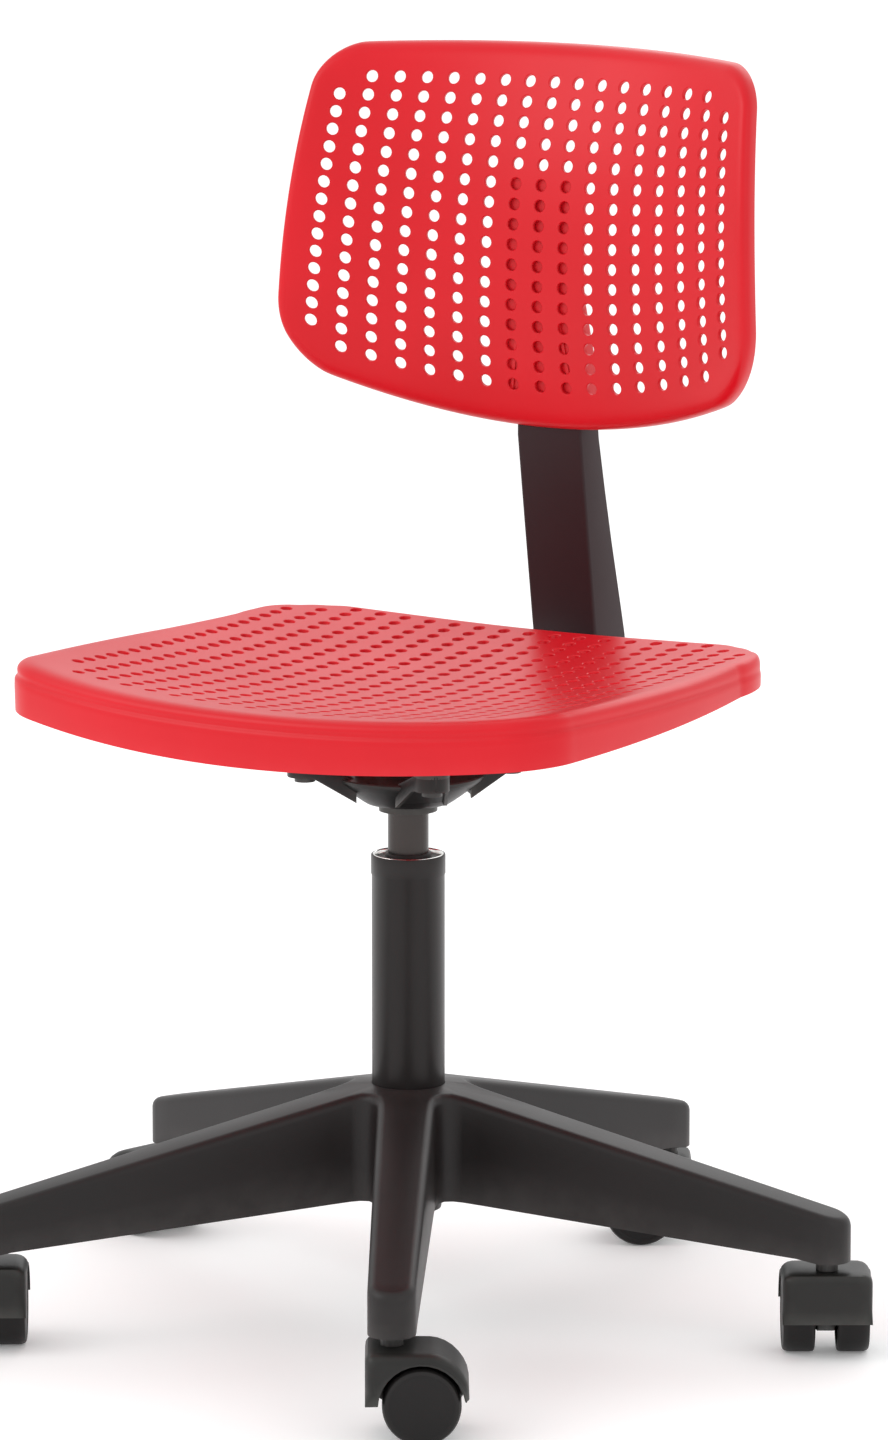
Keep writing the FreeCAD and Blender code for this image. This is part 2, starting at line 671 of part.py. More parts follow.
def seat_point(across, along):
    wide, deep = seat_share(across, along)
    middle = max(0, 1 - wide ** 2) * max(0, 1 - deep ** 2)
    return V(across, along, seat_edge_height(across, along) - size("seat_dish") * middle)


def seat_hem_point(across, along):
    wide, deep = seat_share(across, along)
    drop = size("seat_rim_drop") - 8.8 * deep
    return V(across, along, seat_edge_height(across, along) - drop)


# Half of the seat's plan, from the front middle round to the rear middle.
SEAT_ARCS = [
    [(0, -215), (80, -209), (158, -191)],
    [(158, -191), (196, -170), (211, -130)],
    [(211, -130), (217, -30), (208, 95)],
    [(208, 95), (194, 148), (148, 170)],
    [(148, 170), (80, 173.5), (0, 175)]]

SEAT_ROWS = 24
SEAT_SIDE_COLUMNS = 9
SEAT_ROW_PITCH = 14
SEAT_ROW_CENTRE = -3

# The height that the seat's blocks start at, their height, and how far they go down from it.
SEAT_START = 380
SEAT_REACH = 120
SEAT_DEPTH = 80


def seat_holes():
    holes = []
    for column in range(-SEAT_SIDE_COLUMNS, SEAT_SIDE_COLUMNS + 1):
        outermost = abs(column) == SEAT_SIDE_COLUMNS
        for row in range(SEAT_ROWS):
            if outermost and not 2 <= row <= SEAT_ROWS - 3:
                continue
            share = (SEAT_ROWS - 1 - row) / (SEAT_ROWS - 1)
            along = SEAT_ROW_CENTRE + (row - SEAT_ROWS / 2 + 0.5) * SEAT_ROW_PITCH
            along += 9 * share * (column / SEAT_SIDE_COLUMNS) ** 2
            holes.append(seat_point(column * size("column_pitch"), along))
    return holes


def make_seat():
    skin = size("skin")
    across_steps = spread(-235, 235, 13)
    along_steps = spread(-235, 195, 13)
    top = smooth_face(seat_point, across_steps, along_steps)
    hem = smooth_face(seat_hem_point, across_steps, along_steps)
    wire = mirrored_wire(SEAT_ARCS, lambda across, along: V(across, along, SEAT_START))
    block = Part.Face(wire).extrude(V(0, 0, SEAT_REACH))
    inset = Part.Face(wire.makeOffset2D(-size("rim_wall"))).extrude(V(0, 0, SEAT_REACH))
    tray = block.common(top.extrude(V(0, 0, -SEAT_DEPTH))).cut(hem.extrude(V(0, 0, -SEAT_DEPTH)))
    under = top.copy()
    under.translate(V(0, 0, -skin))
    below = under.extrude(V(0, 0, -SEAT_DEPTH))
    tray = tray.cut(inset.common(below))
    tray = drilled(tray, seat_holes(), size("hole_radius"), V(0, 0, 12), V(0, 0, -24))
    pad_top = size("pad_top")
    lower_skin = top.copy()
    lower_skin.translate(V(0, 0, OVERLAP - skin))
    room = lower_skin.extrude(V(0, 0, -SEAT_DEPTH))
    for corner in four_corners():
        boss = Part.makeCylinder(size("boss_outer"), DRILL_REACH, corner + V(0, 0, pad_top))
        tray = tray.fuse(boss.common(room))
    tray = drilled(tray, four_corners(), size("seat_screw_radius"), V(0, 0, pad_top - 1),
                   V(0, 0, size("seat_screw_top") - pad_top + 1))
    item = doc.addObject("Part::Feature", "seat_shell")
    item.Shape = tray
    keep(item, "seat_shell")


# ---- castors ----

def castor_place(leg, trail_angle):
    angle = math.radians(size("leg_turn") + leg * 360 / size("leg_count"))
    spot = V(size("leg_tip") * math.cos(angle), size("leg_tip") * math.sin(angle), 0)
    return FreeCAD.Placement(spot, FreeCAD.Rotation(UP, trail_angle))


def make_housing(name, place):
    body = new_body(name)
    sketch = sketch_on(body, "XZ_Plane")
    outline(sketch, [
        ("hood_front", "hood_lip"), ("hood_front", "hood_top"), ("hood_back - hood_slope", "hood_top"),
        ("hood_back", "hood_top - hood_fall"), ("hood_back", "hood_lip + 3"), ("trail + 20", "20"),
        ("trail + 8", "15"), ("trail - 8", "15"), ("trail - 22", "23"),
        ("hood_front + 8", "hood_lip")])
    pad = extrude(body, "Pad", sketch, "hood_half + hood_half", both_ways=True)
    front = (size("hood_front"), size("hood_top"))
    crown = (size("hood_back") - size("hood_slope"), size("hood_top"))
    heel = (size("hood_back"), size("hood_top") - size("hood_fall"))
    base = pad
    for radius, spot in (("hood_nose", front), ("hood_crown", crown), ("hood_heel", heel)):
        base = round_across(body, base, "hood_half + hood_half", [spot], ACROSS, radius)
    for side, height in ((False, "- web_half"), (True, "web_half")):
        # the plane's normal points along -Y
        wheel_sketch = sketch_on(body, "XZ_Plane", height)
        circle(wheel_sketch, "arch_radius", "trail", "wheel_radius")
        extrude(body, "Pocket", wheel_sketch, "hood_half", reverse=side)
    axle_sketch = sketch_on(body, "XZ_Plane")
    circle(axle_sketch, "axle_radius", "trail", "wheel_radius")
    extrude(body, "Pocket", axle_sketch, "wheel_width", both_ways=True)
    stem_sketch = sketch_on(body, "XY_Plane", "hood_top")
    circle(stem_sketch, "spigot_radius + running_gap")
    extrude(body, "Pocket", stem_sketch, "hood_top - spigot_low + 1")
    doc.recompute()
    keep(body, name, place)


def make_wheel(name, place):
    turned(name, [
        ("0", "bore_depth"), ("axle_radius + running_gap", "bore_depth"),
        ("axle_radius + running_gap", "0"), ("wheel_hub", "0"),
        ("wheel_hub", "wheel_width - wheel_web"),
        ("wheel_radius - wheel_rim", "wheel_width - wheel_web"),
        ("wheel_radius - wheel_rim", "0"), ("wheel_radius - 1", "0"), ("wheel_radius", "1"),
        ("wheel_radius", "wheel_width - wheel_edge"),
        ("wheel_radius - wheel_edge", "wheel_width"), ("0", "wheel_width")], place)


def make_castors():
    stems = []
    rings = []
    for name, (leg, trail_angle) in CASTORS.items():
        place = castor_place(leg, trail_angle)
        make_housing("castor_housing_" + name, place)
        axle = cylinder("castor_axle_" + name, "axle_radius", "axle_half + axle_half")
        end = V(size("trail"), -size("axle_half"), size("wheel_radius"))
        keep(axle, axle.Name, place * FreeCAD.Placement(end, FreeCAD.Rotation(ACROSS, -90)))
        for hand, side in (("a", 1), ("b", -1)):
            face = V(size("trail"), side * size("wheel_gap"), size("wheel_radius"))
            turn = FreeCAD.Rotation(ACROSS, -90 * side)
            make_wheel("castor_wheel_%s_%s" % (name, hand),
                       place * FreeCAD.Placement(face, turn))
        stem = turned_member("stem_" + name, [
            ("0", "spigot_low"), ("spigot_radius", "spigot_low"), ("spigot_radius", "neck_low"),
            ("neck_radius", "neck_low"), ("neck_radius", "boss_low"),
            ("stem_radius", "boss_low"), ("stem_radius", "grip_low"),
            ("grip_radius", "grip_low"), ("grip_radius", "grip_high"),
            ("stem_radius", "grip_high"), ("stem_radius", "stem_top"), ("0", "stem_top")])
        stem.Placement = place
        stems.append(stem)
        ring = turned_member("ring_" + name, [
            ("grip_radius", "grip_low"), ("stem_radius", "grip_low"),
            ("stem_radius", "grip_high"), ("grip_radius", "grip_high")])
        ring.Placement = place
        rings.append(ring)
    group("castor_stems", stems)
    group("grip_rings", rings)


def check_and_write():
    doc.recompute()
    for item in doc.Objects:
        if "Invalid" in item.State or "Error" in item.State:
            raise RuntimeError("%s failed: %s" % (item.Name, item.State))
    os.makedirs("parts", exist_ok=True)
    for item in nodes:
        shape = item.Shape
        if shape.isNull() or not shape.isValid():
            raise RuntimeError(item.Label + " has no valid shape")
        shape.exportStep("parts/%s.step" % item.Label)
        print(item.Label, len(shape.Solids), round(shape.Volume))


make_star_base()
make_column()
make_seat_plate()
make_bar_bracket()
make_seat_screws()
make_bar_screws()
make_lever()
make_back_bar()
make_backrest()
make_seat()
make_castors()
check_and_write()
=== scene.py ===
import bisect
import math

import bmesh
import bpy
from mathutils import Matrix, Vector


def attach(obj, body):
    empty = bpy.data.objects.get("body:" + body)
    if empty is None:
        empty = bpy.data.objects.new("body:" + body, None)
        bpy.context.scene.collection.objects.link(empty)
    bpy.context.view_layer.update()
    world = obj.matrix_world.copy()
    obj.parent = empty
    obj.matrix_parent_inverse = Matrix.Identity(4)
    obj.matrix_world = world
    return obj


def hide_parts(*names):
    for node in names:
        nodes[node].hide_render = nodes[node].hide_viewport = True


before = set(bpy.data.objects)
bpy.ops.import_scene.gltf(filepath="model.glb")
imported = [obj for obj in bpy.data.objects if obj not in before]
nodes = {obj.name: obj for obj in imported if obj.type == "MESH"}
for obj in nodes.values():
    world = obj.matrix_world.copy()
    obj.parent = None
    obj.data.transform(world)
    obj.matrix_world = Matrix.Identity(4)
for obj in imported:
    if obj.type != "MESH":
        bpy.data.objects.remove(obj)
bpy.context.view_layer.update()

mm = 0.001
print("frame loaded", len(nodes), "nodes")


# shared modelling steps

def pickNothing():
    active = bpy.context.view_layer.objects.active
    if active is not None and active.mode != "OBJECT":
        bpy.ops.object.mode_set(mode="OBJECT")
    bpy.ops.object.select_all(action="DESELECT")


def pickOnly(piece):
    pickNothing()
    piece.select_set(True)
    bpy.context.view_layer.objects.active = piece


def editMesh(piece):
    mesh = bmesh.from_edit_mesh(piece.data)
    mesh.verts.index_update()
    mesh.edges.index_update()
    mesh.faces.index_update()
    mesh.verts.ensure_lookup_table()
    mesh.edges.ensure_lookup_table()
    mesh.faces.ensure_lookup_table()
    return mesh


def clearPick(mesh):
    for face in mesh.faces:
        face.select = False
    for edge in mesh.edges:
        edge.select = False
    for vert in mesh.verts:
        vert.select = False


# pulls an open run of edges out once and says which new corner came from which old one
def pullEdges(piece, chain):
    bpy.ops.mesh.select_mode(type="EDGE")
    mesh = editMesh(piece)
    clearPick(mesh)
    wanted = set(chain)
    for edge in mesh.edges:
        ends = {vert.index for vert in edge.verts}
        if ends <= wanted and len(edge.link_faces) < 2:
            edge.select = True
    bmesh.update_edit_mesh(piece.data)
    bpy.ops.mesh.extrude_region_move()
    mesh = editMesh(piece)
    grown = {}
    for index in chain:
        for edge in mesh.verts[index].link_edges:
            other = edge.other_vert(mesh.verts[index])
            if other.select and other.index not in wanted:
                grown[index] = other.index
    return [grown[index] for index in chain]


def setPlaces(piece, indices, places):
    mesh = editMesh(piece)
    for index, place in zip(indices, places):
        mesh.verts[index].co = Vector(place)
    bmesh.update_edit_mesh(piece.data)


# a ring is set on the first outline and pulled from outline to outline
def loftPiece(name, outlines, closed=True, capStart=True, capEnd=True):
    pickNothing()
    count = len(outlines[0])
    bpy.ops.mesh.primitive_circle_add(vertices=count, radius=0.01)
    piece = bpy.context.view_layer.objects.active
    piece.name = name
    piece.data.name = name
    bpy.ops.object.mode_set(mode="EDIT")
    bpy.ops.mesh.select_mode(type="VERT")
    chain = list(range(count))
    if not closed:
        mesh = editMesh(piece)
        clearPick(mesh)
        ends = {0, count - 1}
        for edge in mesh.edges:
            if {edge.verts[0].index, edge.verts[1].index} == ends:
                edge.select = True
        bpy.ops.mesh.select_mode(type="EDGE")
        bpy.ops.mesh.delete(type="EDGE")
        bpy.ops.mesh.select_mode(type="VERT")
    setPlaces(piece, chain, outlines[0])
    first = chain
    for outline in outlines[1:]:
        chain = pullEdges(piece, chain)
        setPlaces(piece, chain, outline)
    for wanted, ring in ((capStart, first), (capEnd, chain)):
        if wanted and closed:
            mesh = editMesh(piece)
            clearPick(mesh)
            for index in ring:
                mesh.verts[index].select = True
            mesh.select_flush(True)
            bpy.ops.mesh.edge_face_add()
    tidyMesh(piece)
    return piece


def tidyMesh(piece, merge=0.00002):
    if piece.mode != "EDIT":
        pickOnly(piece)
        bpy.ops.object.mode_set(mode="EDIT")
    bpy.ops.mesh.select_all(action="SELECT")
    bpy.ops.mesh.remove_doubles(threshold=merge)
    bpy.ops.mesh.normals_make_consistent(inside=False)
    bpy.ops.object.mode_set(mode="OBJECT")


def useModifier(piece, kind, **settings):
    pickOnly(piece)
    modifier = piece.modifiers.new(kind.title(), kind)
    for key, value in settings.items():
        setattr(modifier, key, value)
    bpy.ops.object.modifier_apply(modifier=modifier.name)


def giveWall(piece, thickness, offset=-1.0):
    useModifier(piece, "SOLIDIFY", thickness=thickness, offset=offset, use_even_offset=False)


def smoothUp(piece, angle=35):
    pickOnly(piece)
    bpy.ops.object.shade_smooth_by_angle(angle=math.radians(angle))


def move(piece, matrix):
    piece.data.transform(matrix)
    piece.data.update()


def between(first, last, share):
    return first + (last - first) * share


def copyPiece(piece, name, matrix):
    pickOnly(piece)
    bpy.ops.object.duplicate(linked=False)
    twin = bpy.context.view_layer.objects.active
    twin.name = name
    twin.data.name = name
    move(twin, matrix)
    return twin


# one copy at each place, and the first piece goes
def spreadCopies(piece, spots):
    copies = [copyPiece(piece, "%s%d" % (piece.name, index), spot)
              for index, spot in enumerate(spots)]
    bpy.data.objects.remove(piece)
    return copies


def joinPieces(main, others):
    pickNothing()
    for other in others:
        other.select_set(True)
    main.select_set(True)
    bpy.context.view_layer.objects.active = main
    bpy.ops.object.join()
    return main


def dress(piece, material):
    piece.data.materials.clear()
    piece.data.materials.append(material)


def place(piece, body, slot, material, replaced):
    dress(piece, material)
    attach(piece, body)
    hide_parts(*replaced)


# points round a circle, a rounded rectangle and a turned profile

def circlePoints(radius, height, count=64, centre=(0, 0)):
    points = []
    for step in range(count):
        angle = 2 * math.pi * step / count
        points.append((centre[0] + radius * math.cos(angle),
                       centre[1] + radius * math.sin(angle), height))
    return points


def roundedBox(halfWide, halfDeep, radius, corner=4):
    points = []
    for quarter, (side, along) in enumerate(((1, 1), (-1, 1), (-1, -1), (1, -1))):
        for step in range(corner + 1):
            angle = math.radians(90 * quarter + 90 * step / corner)
            points.append((side * (halfWide - radius) + radius * math.cos(angle),
                           along * (halfDeep - radius) + radius * math.sin(angle)))
    return points


def turnedPiece(name, profile, count=72, capStart=False, capEnd=False, closedProfile=False):
    rings = [circlePoints(radius * mm, height * mm, count) for radius, height in profile]
    if closedProfile:
        rings.append(rings[0])
    return loftPiece(name, rings, True, capStart, capEnd)


# shader groups, each built once

def newGroup(name, inputs, outputs):
    group = bpy.data.node_groups.new(name, "ShaderNodeTree")
    for label, kind, value in inputs:
        socket = group.interface.new_socket(label, in_out="INPUT", socket_type=kind)
        if value is not None:
            socket.default_value = value
    for label, kind in outputs:
        group.interface.new_socket(label, in_out="OUTPUT", socket_type=kind)
    start = group.nodes.new("NodeGroupInput")
    end = group.nodes.new("NodeGroupOutput")
    return group, start, end


def link(tree, source, target):
    tree.links.new(source, target)


def addNode(tree, kind, **values):
    node = tree.nodes.new("ShaderNode" + kind)
    for label, value in values.items():
        node.inputs[label.replace("_", " ")].default_value = value
    return node


def addMath(tree, operation, second=0.5):
    node = tree.nodes.new("ShaderNodeMath")
    node.operation = operation
    node.inputs[1].default_value = second
    return node


def addMix(tree):
    node = tree.nodes.new("ShaderNodeMix")
    node.data_type = "RGBA"
    return node


# the roughness swings about its middle with a noise
def swingRoughness(group, start, end, noise):
    centred = addMath(group, "SUBTRACT")
    scaled = addMath(group, "MULTIPLY_ADD")
    link(group, noise.outputs["Fac"], centred.inputs[0])
    link(group, centred.outputs[0], scaled.inputs[0])
    link(group, start.outputs["Variation"], scaled.inputs[1])
    link(group, start.outputs["Roughness"], scaled.inputs[2])
    link(group, scaled.outputs[0], end.inputs["Roughness"])


# fine moulded grain: a height for bump and a slight change of gloss
def makeMouldGrain():
    group, start, end = newGroup(
        "mouldGrain",
        [("Vector", "NodeSocketVector", None), ("Scale", "NodeSocketFloat", 900.0),
         ("Roughness", "NodeSocketFloat", 0.4), ("Variation", "NodeSocketFloat", 0.08)],
        [("Height", "NodeSocketFloat"), ("Roughness", "NodeSocketFloat")])
    fine = addNode(group, "TexNoise", Detail=3.0)
    broad = addNode(group, "TexNoise", Scale=14.0, Detail=4.0)
    link(group, start.outputs["Vector"], fine.inputs["Vector"])
    link(group, start.outputs["Scale"], fine.inputs["Scale"])
    link(group, start.outputs["Vector"], broad.inputs["Vector"])
    link(group, fine.outputs["Fac"], end.inputs["Height"])
    swingRoughness(group, start, end, broad)
    return group


# colour that drifts a little and pales on worn edges
def makeWornColour():
    group, start, end = newGroup(
        "wornColour",
        [("Vector", "NodeSocketVector", None), ("Colour", "NodeSocketColor", None),
         ("Deep", "NodeSocketColor", None), ("Worn", "NodeSocketColor", None),
         ("Wear", "NodeSocketFloat", 0.3), ("Drift Scale", "NodeSocketFloat", 9.0)],
        [("Colour", "NodeSocketColor")])
    drift = addNode(group, "TexNoise", Detail=5.0)
    ramp = addNode(group, "MapRange", From_Min=0.35, From_Max=0.65)
    mixDrift = addMix(group)
    edge = addNode(group, "NewGeometry")
    sharp = addNode(group, "MapRange", From_Min=0.52, From_Max=0.62)
    scuff = addNode(group, "TexNoise", Scale=60.0, Detail=6.0)
    broken = addMath(group, "MULTIPLY")
    amount = addMath(group, "MULTIPLY")
    amount.use_clamp = True
    mixWear = addMix(group)
    link(group, start.outputs["Vector"], drift.inputs["Vector"])
    link(group, start.outputs["Vector"], scuff.inputs["Vector"])
    link(group, start.outputs["Drift Scale"], drift.inputs["Scale"])
    link(group, drift.outputs["Fac"], ramp.inputs["Value"])
    link(group, ramp.outputs["Result"], mixDrift.inputs["Factor"])
    link(group, start.outputs["Colour"], mixDrift.inputs["A"])
    link(group, start.outputs["Deep"], mixDrift.inputs["B"])
    link(group, edge.outputs["Pointiness"], sharp.inputs["Value"])
    link(group, sharp.outputs["Result"], broken.inputs[0])
    link(group, scuff.outputs["Fac"], broken.inputs[1])
    link(group, broken.outputs[0], amount.inputs[0])
    link(group, start.outputs["Wear"], amount.inputs[1])
    link(group, amount.outputs[0], mixWear.inputs["Factor"])
    link(group, mixDrift.outputs["Result"], mixWear.inputs["A"])
    link(group, start.outputs["Worn"], mixWear.inputs["B"])
    link(group, mixWear.outputs["Result"], end.inputs["Colour"])
    return group


# turning marks and plating: long thin streaks round the piece's upright axis
def makeMetalGrain():
    group, start, end = newGroup(
        "metalGrain",
        [("Vector", "NodeSocketVector", None), ("Scale", "NodeSocketFloat", 500.0),
         ("Roughness", "NodeSocketFloat", 0.3), ("Variation", "NodeSocketFloat", 0.15)],
        [("Height", "NodeSocketFloat"), ("Roughness", "NodeSocketFloat")])
    stretch = addNode(group, "Mapping", Scale=(0.03, 0.03, 1.0))
    streaks = addNode(group, "TexNoise", Detail=4.0)
    link(group, start.outputs["Vector"], stretch.inputs["Vector"])
    link(group, stretch.outputs["Vector"], streaks.inputs["Vector"])
    link(group, start.outputs["Scale"], streaks.inputs["Scale"])
    link(group, streaks.outputs["Fac"], end.inputs["Height"])
    swingRoughness(group, start, end, streaks)
    return group


mouldGrain = makeMouldGrain()
wornColour = makeWornColour()
metalGrain = makeMetalGrain()


def placeGroup(tree, group, **values):
    box = tree.nodes.new("ShaderNodeGroup")
    box.node_tree = group
    for label, value in values.items():
        box.inputs[label.replace("_", " ")].default_value = value
    return box


def makeMaterial(name, look, grainGroup):
    material = bpy.data.materials.new(name)
    material.use_nodes = True
    tree = material.node_tree
    shader = tree.nodes["Principled BSDF"]
    spot = addNode(tree, "TexCoord")
    colour = placeGroup(tree, wornColour, Colour=look["colour"], Deep=look["deep"],
                        Worn=look["worn"], Wear=look["wear"], Drift_Scale=look["drift"])
    grain = placeGroup(tree, grainGroup, Scale=look["grainScale"],
                       Roughness=look["roughness"], Variation=look["variation"])
    bump = addNode(tree, "Bump", Strength=look["bump"], Distance=look["bumpDepth"])
    link(tree, spot.outputs["Object"], colour.inputs["Vector"])
    link(tree, spot.outputs["Object"], grain.inputs["Vector"])
    link(tree, colour.outputs["Colour"], shader.inputs["Base Color"])
    link(tree, grain.outputs["Roughness"], shader.inputs["Roughness"])
    link(tree, grain.outputs["Height"], bump.inputs["Height"])
    link(tree, bump.outputs["Normal"], shader.inputs["Normal"])
    shader.inputs["Metallic"].default_value = look.get("metallic", 0.0)
    shader.inputs["Specular IOR Level"].default_value = look.get("specular", 0.5)
    return material


looks = {
    "redPlastic": {
        "colour": (0.66, 0.0042, 0.013, 1), "deep": (0.61, 0.0034, 0.0105, 1),
        "worn": (0.80, 0.085, 0.095, 1), "wear": 0.25, "drift": 7.0, "grainScale": 1400.0,
        "roughness": 0.36, "variation": 0.06, "bump": 0.10, "bumpDepth": 0.0002, "specular": 0.3},
    "blackNylon": {
        "colour": (0.0125, 0.0095, 0.0095, 1), "deep": (0.0095, 0.0075, 0.0075, 1),
        "worn": (0.085, 0.078, 0.075, 1), "wear": 0.7, "drift": 8.0, "grainScale": 900.0,
        "roughness": 0.42, "variation": 0.10, "bump": 0.22, "bumpDepth": 0.0003, "specular": 0.32},
    "blackBar": {
        "colour": (0.03, 0.0125, 0.0145, 1), "deep": (0.024, 0.01, 0.012, 1),
        "worn": (0.09, 0.07, 0.07, 1), "wear": 0.5, "drift": 6.0, "grainScale": 1100.0,
        "roughness": 0.50, "variation": 0.08, "bump": 0.20, "bumpDepth": 0.0003, "specular": 0.25},
    "hoodNylon": {
        "colour": (0.0115, 0.0108, 0.0098, 1), "deep": (0.0088, 0.0083, 0.0076, 1),
        "worn": (0.11, 0.11, 0.10, 1), "wear": 0.7, "drift": 16.0, "grainScale": 1000.0,
        "roughness": 0.44, "variation": 0.10, "bump": 0.22, "bumpDepth": 0.0003, "specular": 0.35},
    "wheelNylon": {
        "colour": (0.01, 0.0088, 0.0088, 1), "deep": (0.0075, 0.0066, 0.0066, 1),
        "worn": (0.08, 0.075, 0.07, 1), "wear": 0.8, "drift": 20.0, "grainScale": 900.0,
        "roughness": 0.46, "variation": 0.14, "bump": 0.20, "bumpDepth": 0.0003, "specular": 0.25},
    "tubeEnamel": {
        "colour": (0.0125, 0.0095, 0.0092, 1), "deep": (0.01, 0.0078, 0.0076, 1),
        "worn": (0.10, 0.09, 0.085, 1), "wear": 0.6, "drift": 10.0, "grainScale": 1600.0,
        "roughness": 0.34, "variation": 0.08, "bump": 0.16, "bumpDepth": 0.0003, "specular": 0.32},
    "plateEnamel": {
        "colour": (0.008, 0.007, 0.007, 1), "deep": (0.006, 0.0052, 0.0052, 1),
        "worn": (0.12, 0.11, 0.10, 1), "wear": 0.8, "drift": 10.0, "grainScale": 1500.0,
        "roughness": 0.38, "variation": 0.10, "bump": 0.18, "bumpDepth": 0.0003, "specular": 0.32},
    "darkSteel": {
        "colour": (0.055, 0.046, 0.043, 1), "deep": (0.046, 0.039, 0.037, 1),
        "worn": (0.25, 0.23, 0.22, 1), "wear": 0.4, "drift": 12.0, "grainScale": 420.0,
        "roughness": 0.24, "variation": 0.10, "bump": 0.05, "bumpDepth": 0.0002,
        "metallic": 0.6},
    "blackScrew": {
        "colour": (0.016, 0.015, 0.015, 1), "deep": (0.012, 0.011, 0.011, 1),
        "worn": (0.14, 0.13, 0.12, 1), "wear": 0.8, "drift": 30.0, "grainScale": 700.0,
        "roughness": 0.36, "variation": 0.12, "bump": 0.08, "bumpDepth": 0.0002,
        "specular": 0.4},
    "zincSteel": {
        "colour": (0.46, 0.45, 0.43, 1), "deep": (0.36, 0.35, 0.34, 1),
        "worn": (0.62, 0.61, 0.59, 1), "wear": 0.5, "drift": 25.0, "grainScale": 600.0,
        "roughness": 0.34, "variation": 0.20, "bump": 0.08, "bumpDepth": 0.0002,
        "metallic": 1.0},
    "brightSteel": {
        "colour": (0.86, 0.86, 0.84, 1), "deep": (0.78, 0.78, 0.76, 1),
        "worn": (0.95, 0.95, 0.94, 1), "wear": 0.3, "drift": 25.0, "grainScale": 500.0,
        "roughness": 0.14, "variation": 0.06, "bump": 0.03, "bumpDepth": 0.0002,
        "metallic": 1.0},
}
grainOf = {"darkSteel": metalGrain, "zincSteel": metalGrain, "brightSteel": metalGrain}
finishes = {}
for finishName, look in looks.items():
    finishes[finishName] = makeMaterial(finishName, look, grainOf.get(finishName, mouldGrain))
print("materials made", len(finishes))


# the perforated seat and backrest

def outlinePoints(arcs, steps=40):
    half = []
    for start, middle, end in arcs:
        centre, radius = circleThrough(start, middle, end)
        first = math.atan2(start[1] - centre[1], start[0] - centre[0])
        through = math.atan2(middle[1] - centre[1], middle[0] - centre[0])
        last = math.atan2(end[1] - centre[1], end[0] - centre[0])
        full = 2 * math.pi
        turn = (last - first) % full
        if (through - first) % full > turn:
            turn -= full
        for step in range(steps):
            angle = first + turn * step / steps
            half.append((centre[0] + radius * math.cos(angle),
                         centre[1] + radius * math.sin(angle)))
    half.append(arcs[-1][-1])
    mirrored = [(-across, along) for across, along in reversed(half[1:-1])]
    return half + mirrored


def circleThrough(a, b, c):
    ax, ay = a
    bx, by = b
    cx, cy = c
    d = 2 * (ax * (by - cy) + bx * (cy - ay) + cx * (ay - by))
    sa, sb, sc = ax * ax + ay * ay, bx * bx + by * by, cx * cx + cy * cy
    ux = (sa * (by - cy) + sb * (cy - ay) + sc * (ay - by)) / d
    uy = (sa * (cx - bx) + sb * (ax - cx) + sc * (bx - ax)) / d
    return (ux, uy), math.hypot(ax - ux, ay - uy)


# how far along the outline a ray from the middle through a point meets it
def meetOutline(points, reaches, middle, target):
    dx, dy = target[0] - middle[0], target[1] - middle[1]
    for index, (px, py) in enumerate(points):
        qx, qy = points[(index + 1) % len(points)]
        ex, ey = qx - px, qy - py
        cross = dx * ey - dy * ex
        if abs(cross) < 1e-9:
            continue
        far = ((px - middle[0]) * ey - (py - middle[1]) * ex) / cross
        share = ((px - middle[0]) * dy - (py - middle[1]) * dx) / cross
        if far > 0 and -1e-9 <= share <= 1 + 1e-9:
            return reaches[index] + share * math.hypot(ex, ey)
    raise ValueError("the outline isn't closed")


def pointAlong(points, reaches, total, reach):
    reach %= total
    index = bisect.bisect_right(reaches, reach) - 1
    px, py = points[index]
    qx, qy = points[(index + 1) % len(points)]
    share = (reach - reaches[index]) / math.hypot(qx - px, qy - py)
    return px + (qx - px) * share, py + (qy - py) * share


spreadRounds = 60  # more rounds space the rim's corners more evenly
slopeStep = 2  # mm each way, for the outline's direction at a point


# each rim corner's place on the outline and its way inwards, spread evenly round the corners
def rimTargets(points, middle, starts):
    reaches = []
    total = 0
    for index, (px, py) in enumerate(points):
        reaches.append(total)
        qx, qy = points[(index + 1) % len(points)]
        total += math.hypot(qx - px, qy - py)
    order = sorted(range(len(starts)), key=lambda place: -math.atan2(
        starts[place][1] - middle[1], starts[place][0] - middle[0]))
    marks = [meetOutline(points, reaches, middle, starts[place]) for place in order]
    # a run that goes the other way round is turned
    if sum((marks[index + 1] - marks[index]) % total for index in range(8)) > total:
        order.reverse()
        marks.reverse()
    for index in range(1, len(marks)):
        while marks[index] < marks[index - 1]:
            marks[index] += total
    count = len(marks)
    for step in range(spreadRounds):
        before = [marks[-1] - total] + marks[:-1]
        after = marks[1:] + [marks[0] + total]
        marks = [0.5 * mark + 0.25 * (left + right)
                 for mark, left, right in zip(marks, before, after)]
    targets = [None] * count
    for place, mark in zip(order, marks):
        edge = pointAlong(points, reaches, total, mark)
        behind = pointAlong(points, reaches, total, mark - slopeStep)
        ahead = pointAlong(points, reaches, total, mark + slopeStep)
        tx, ty = ahead[0] - behind[0], ahead[1] - behind[1]
        length = math.hypot(tx, ty)
        inward = (-ty / length, tx / length)
        if inward[0] * (middle[0] - edge[0]) + inward[1] * (middle[1] - edge[1]) < 0:
            inward = (-inward[0], -inward[1])
        targets[place] = (edge, inward)
    return targets


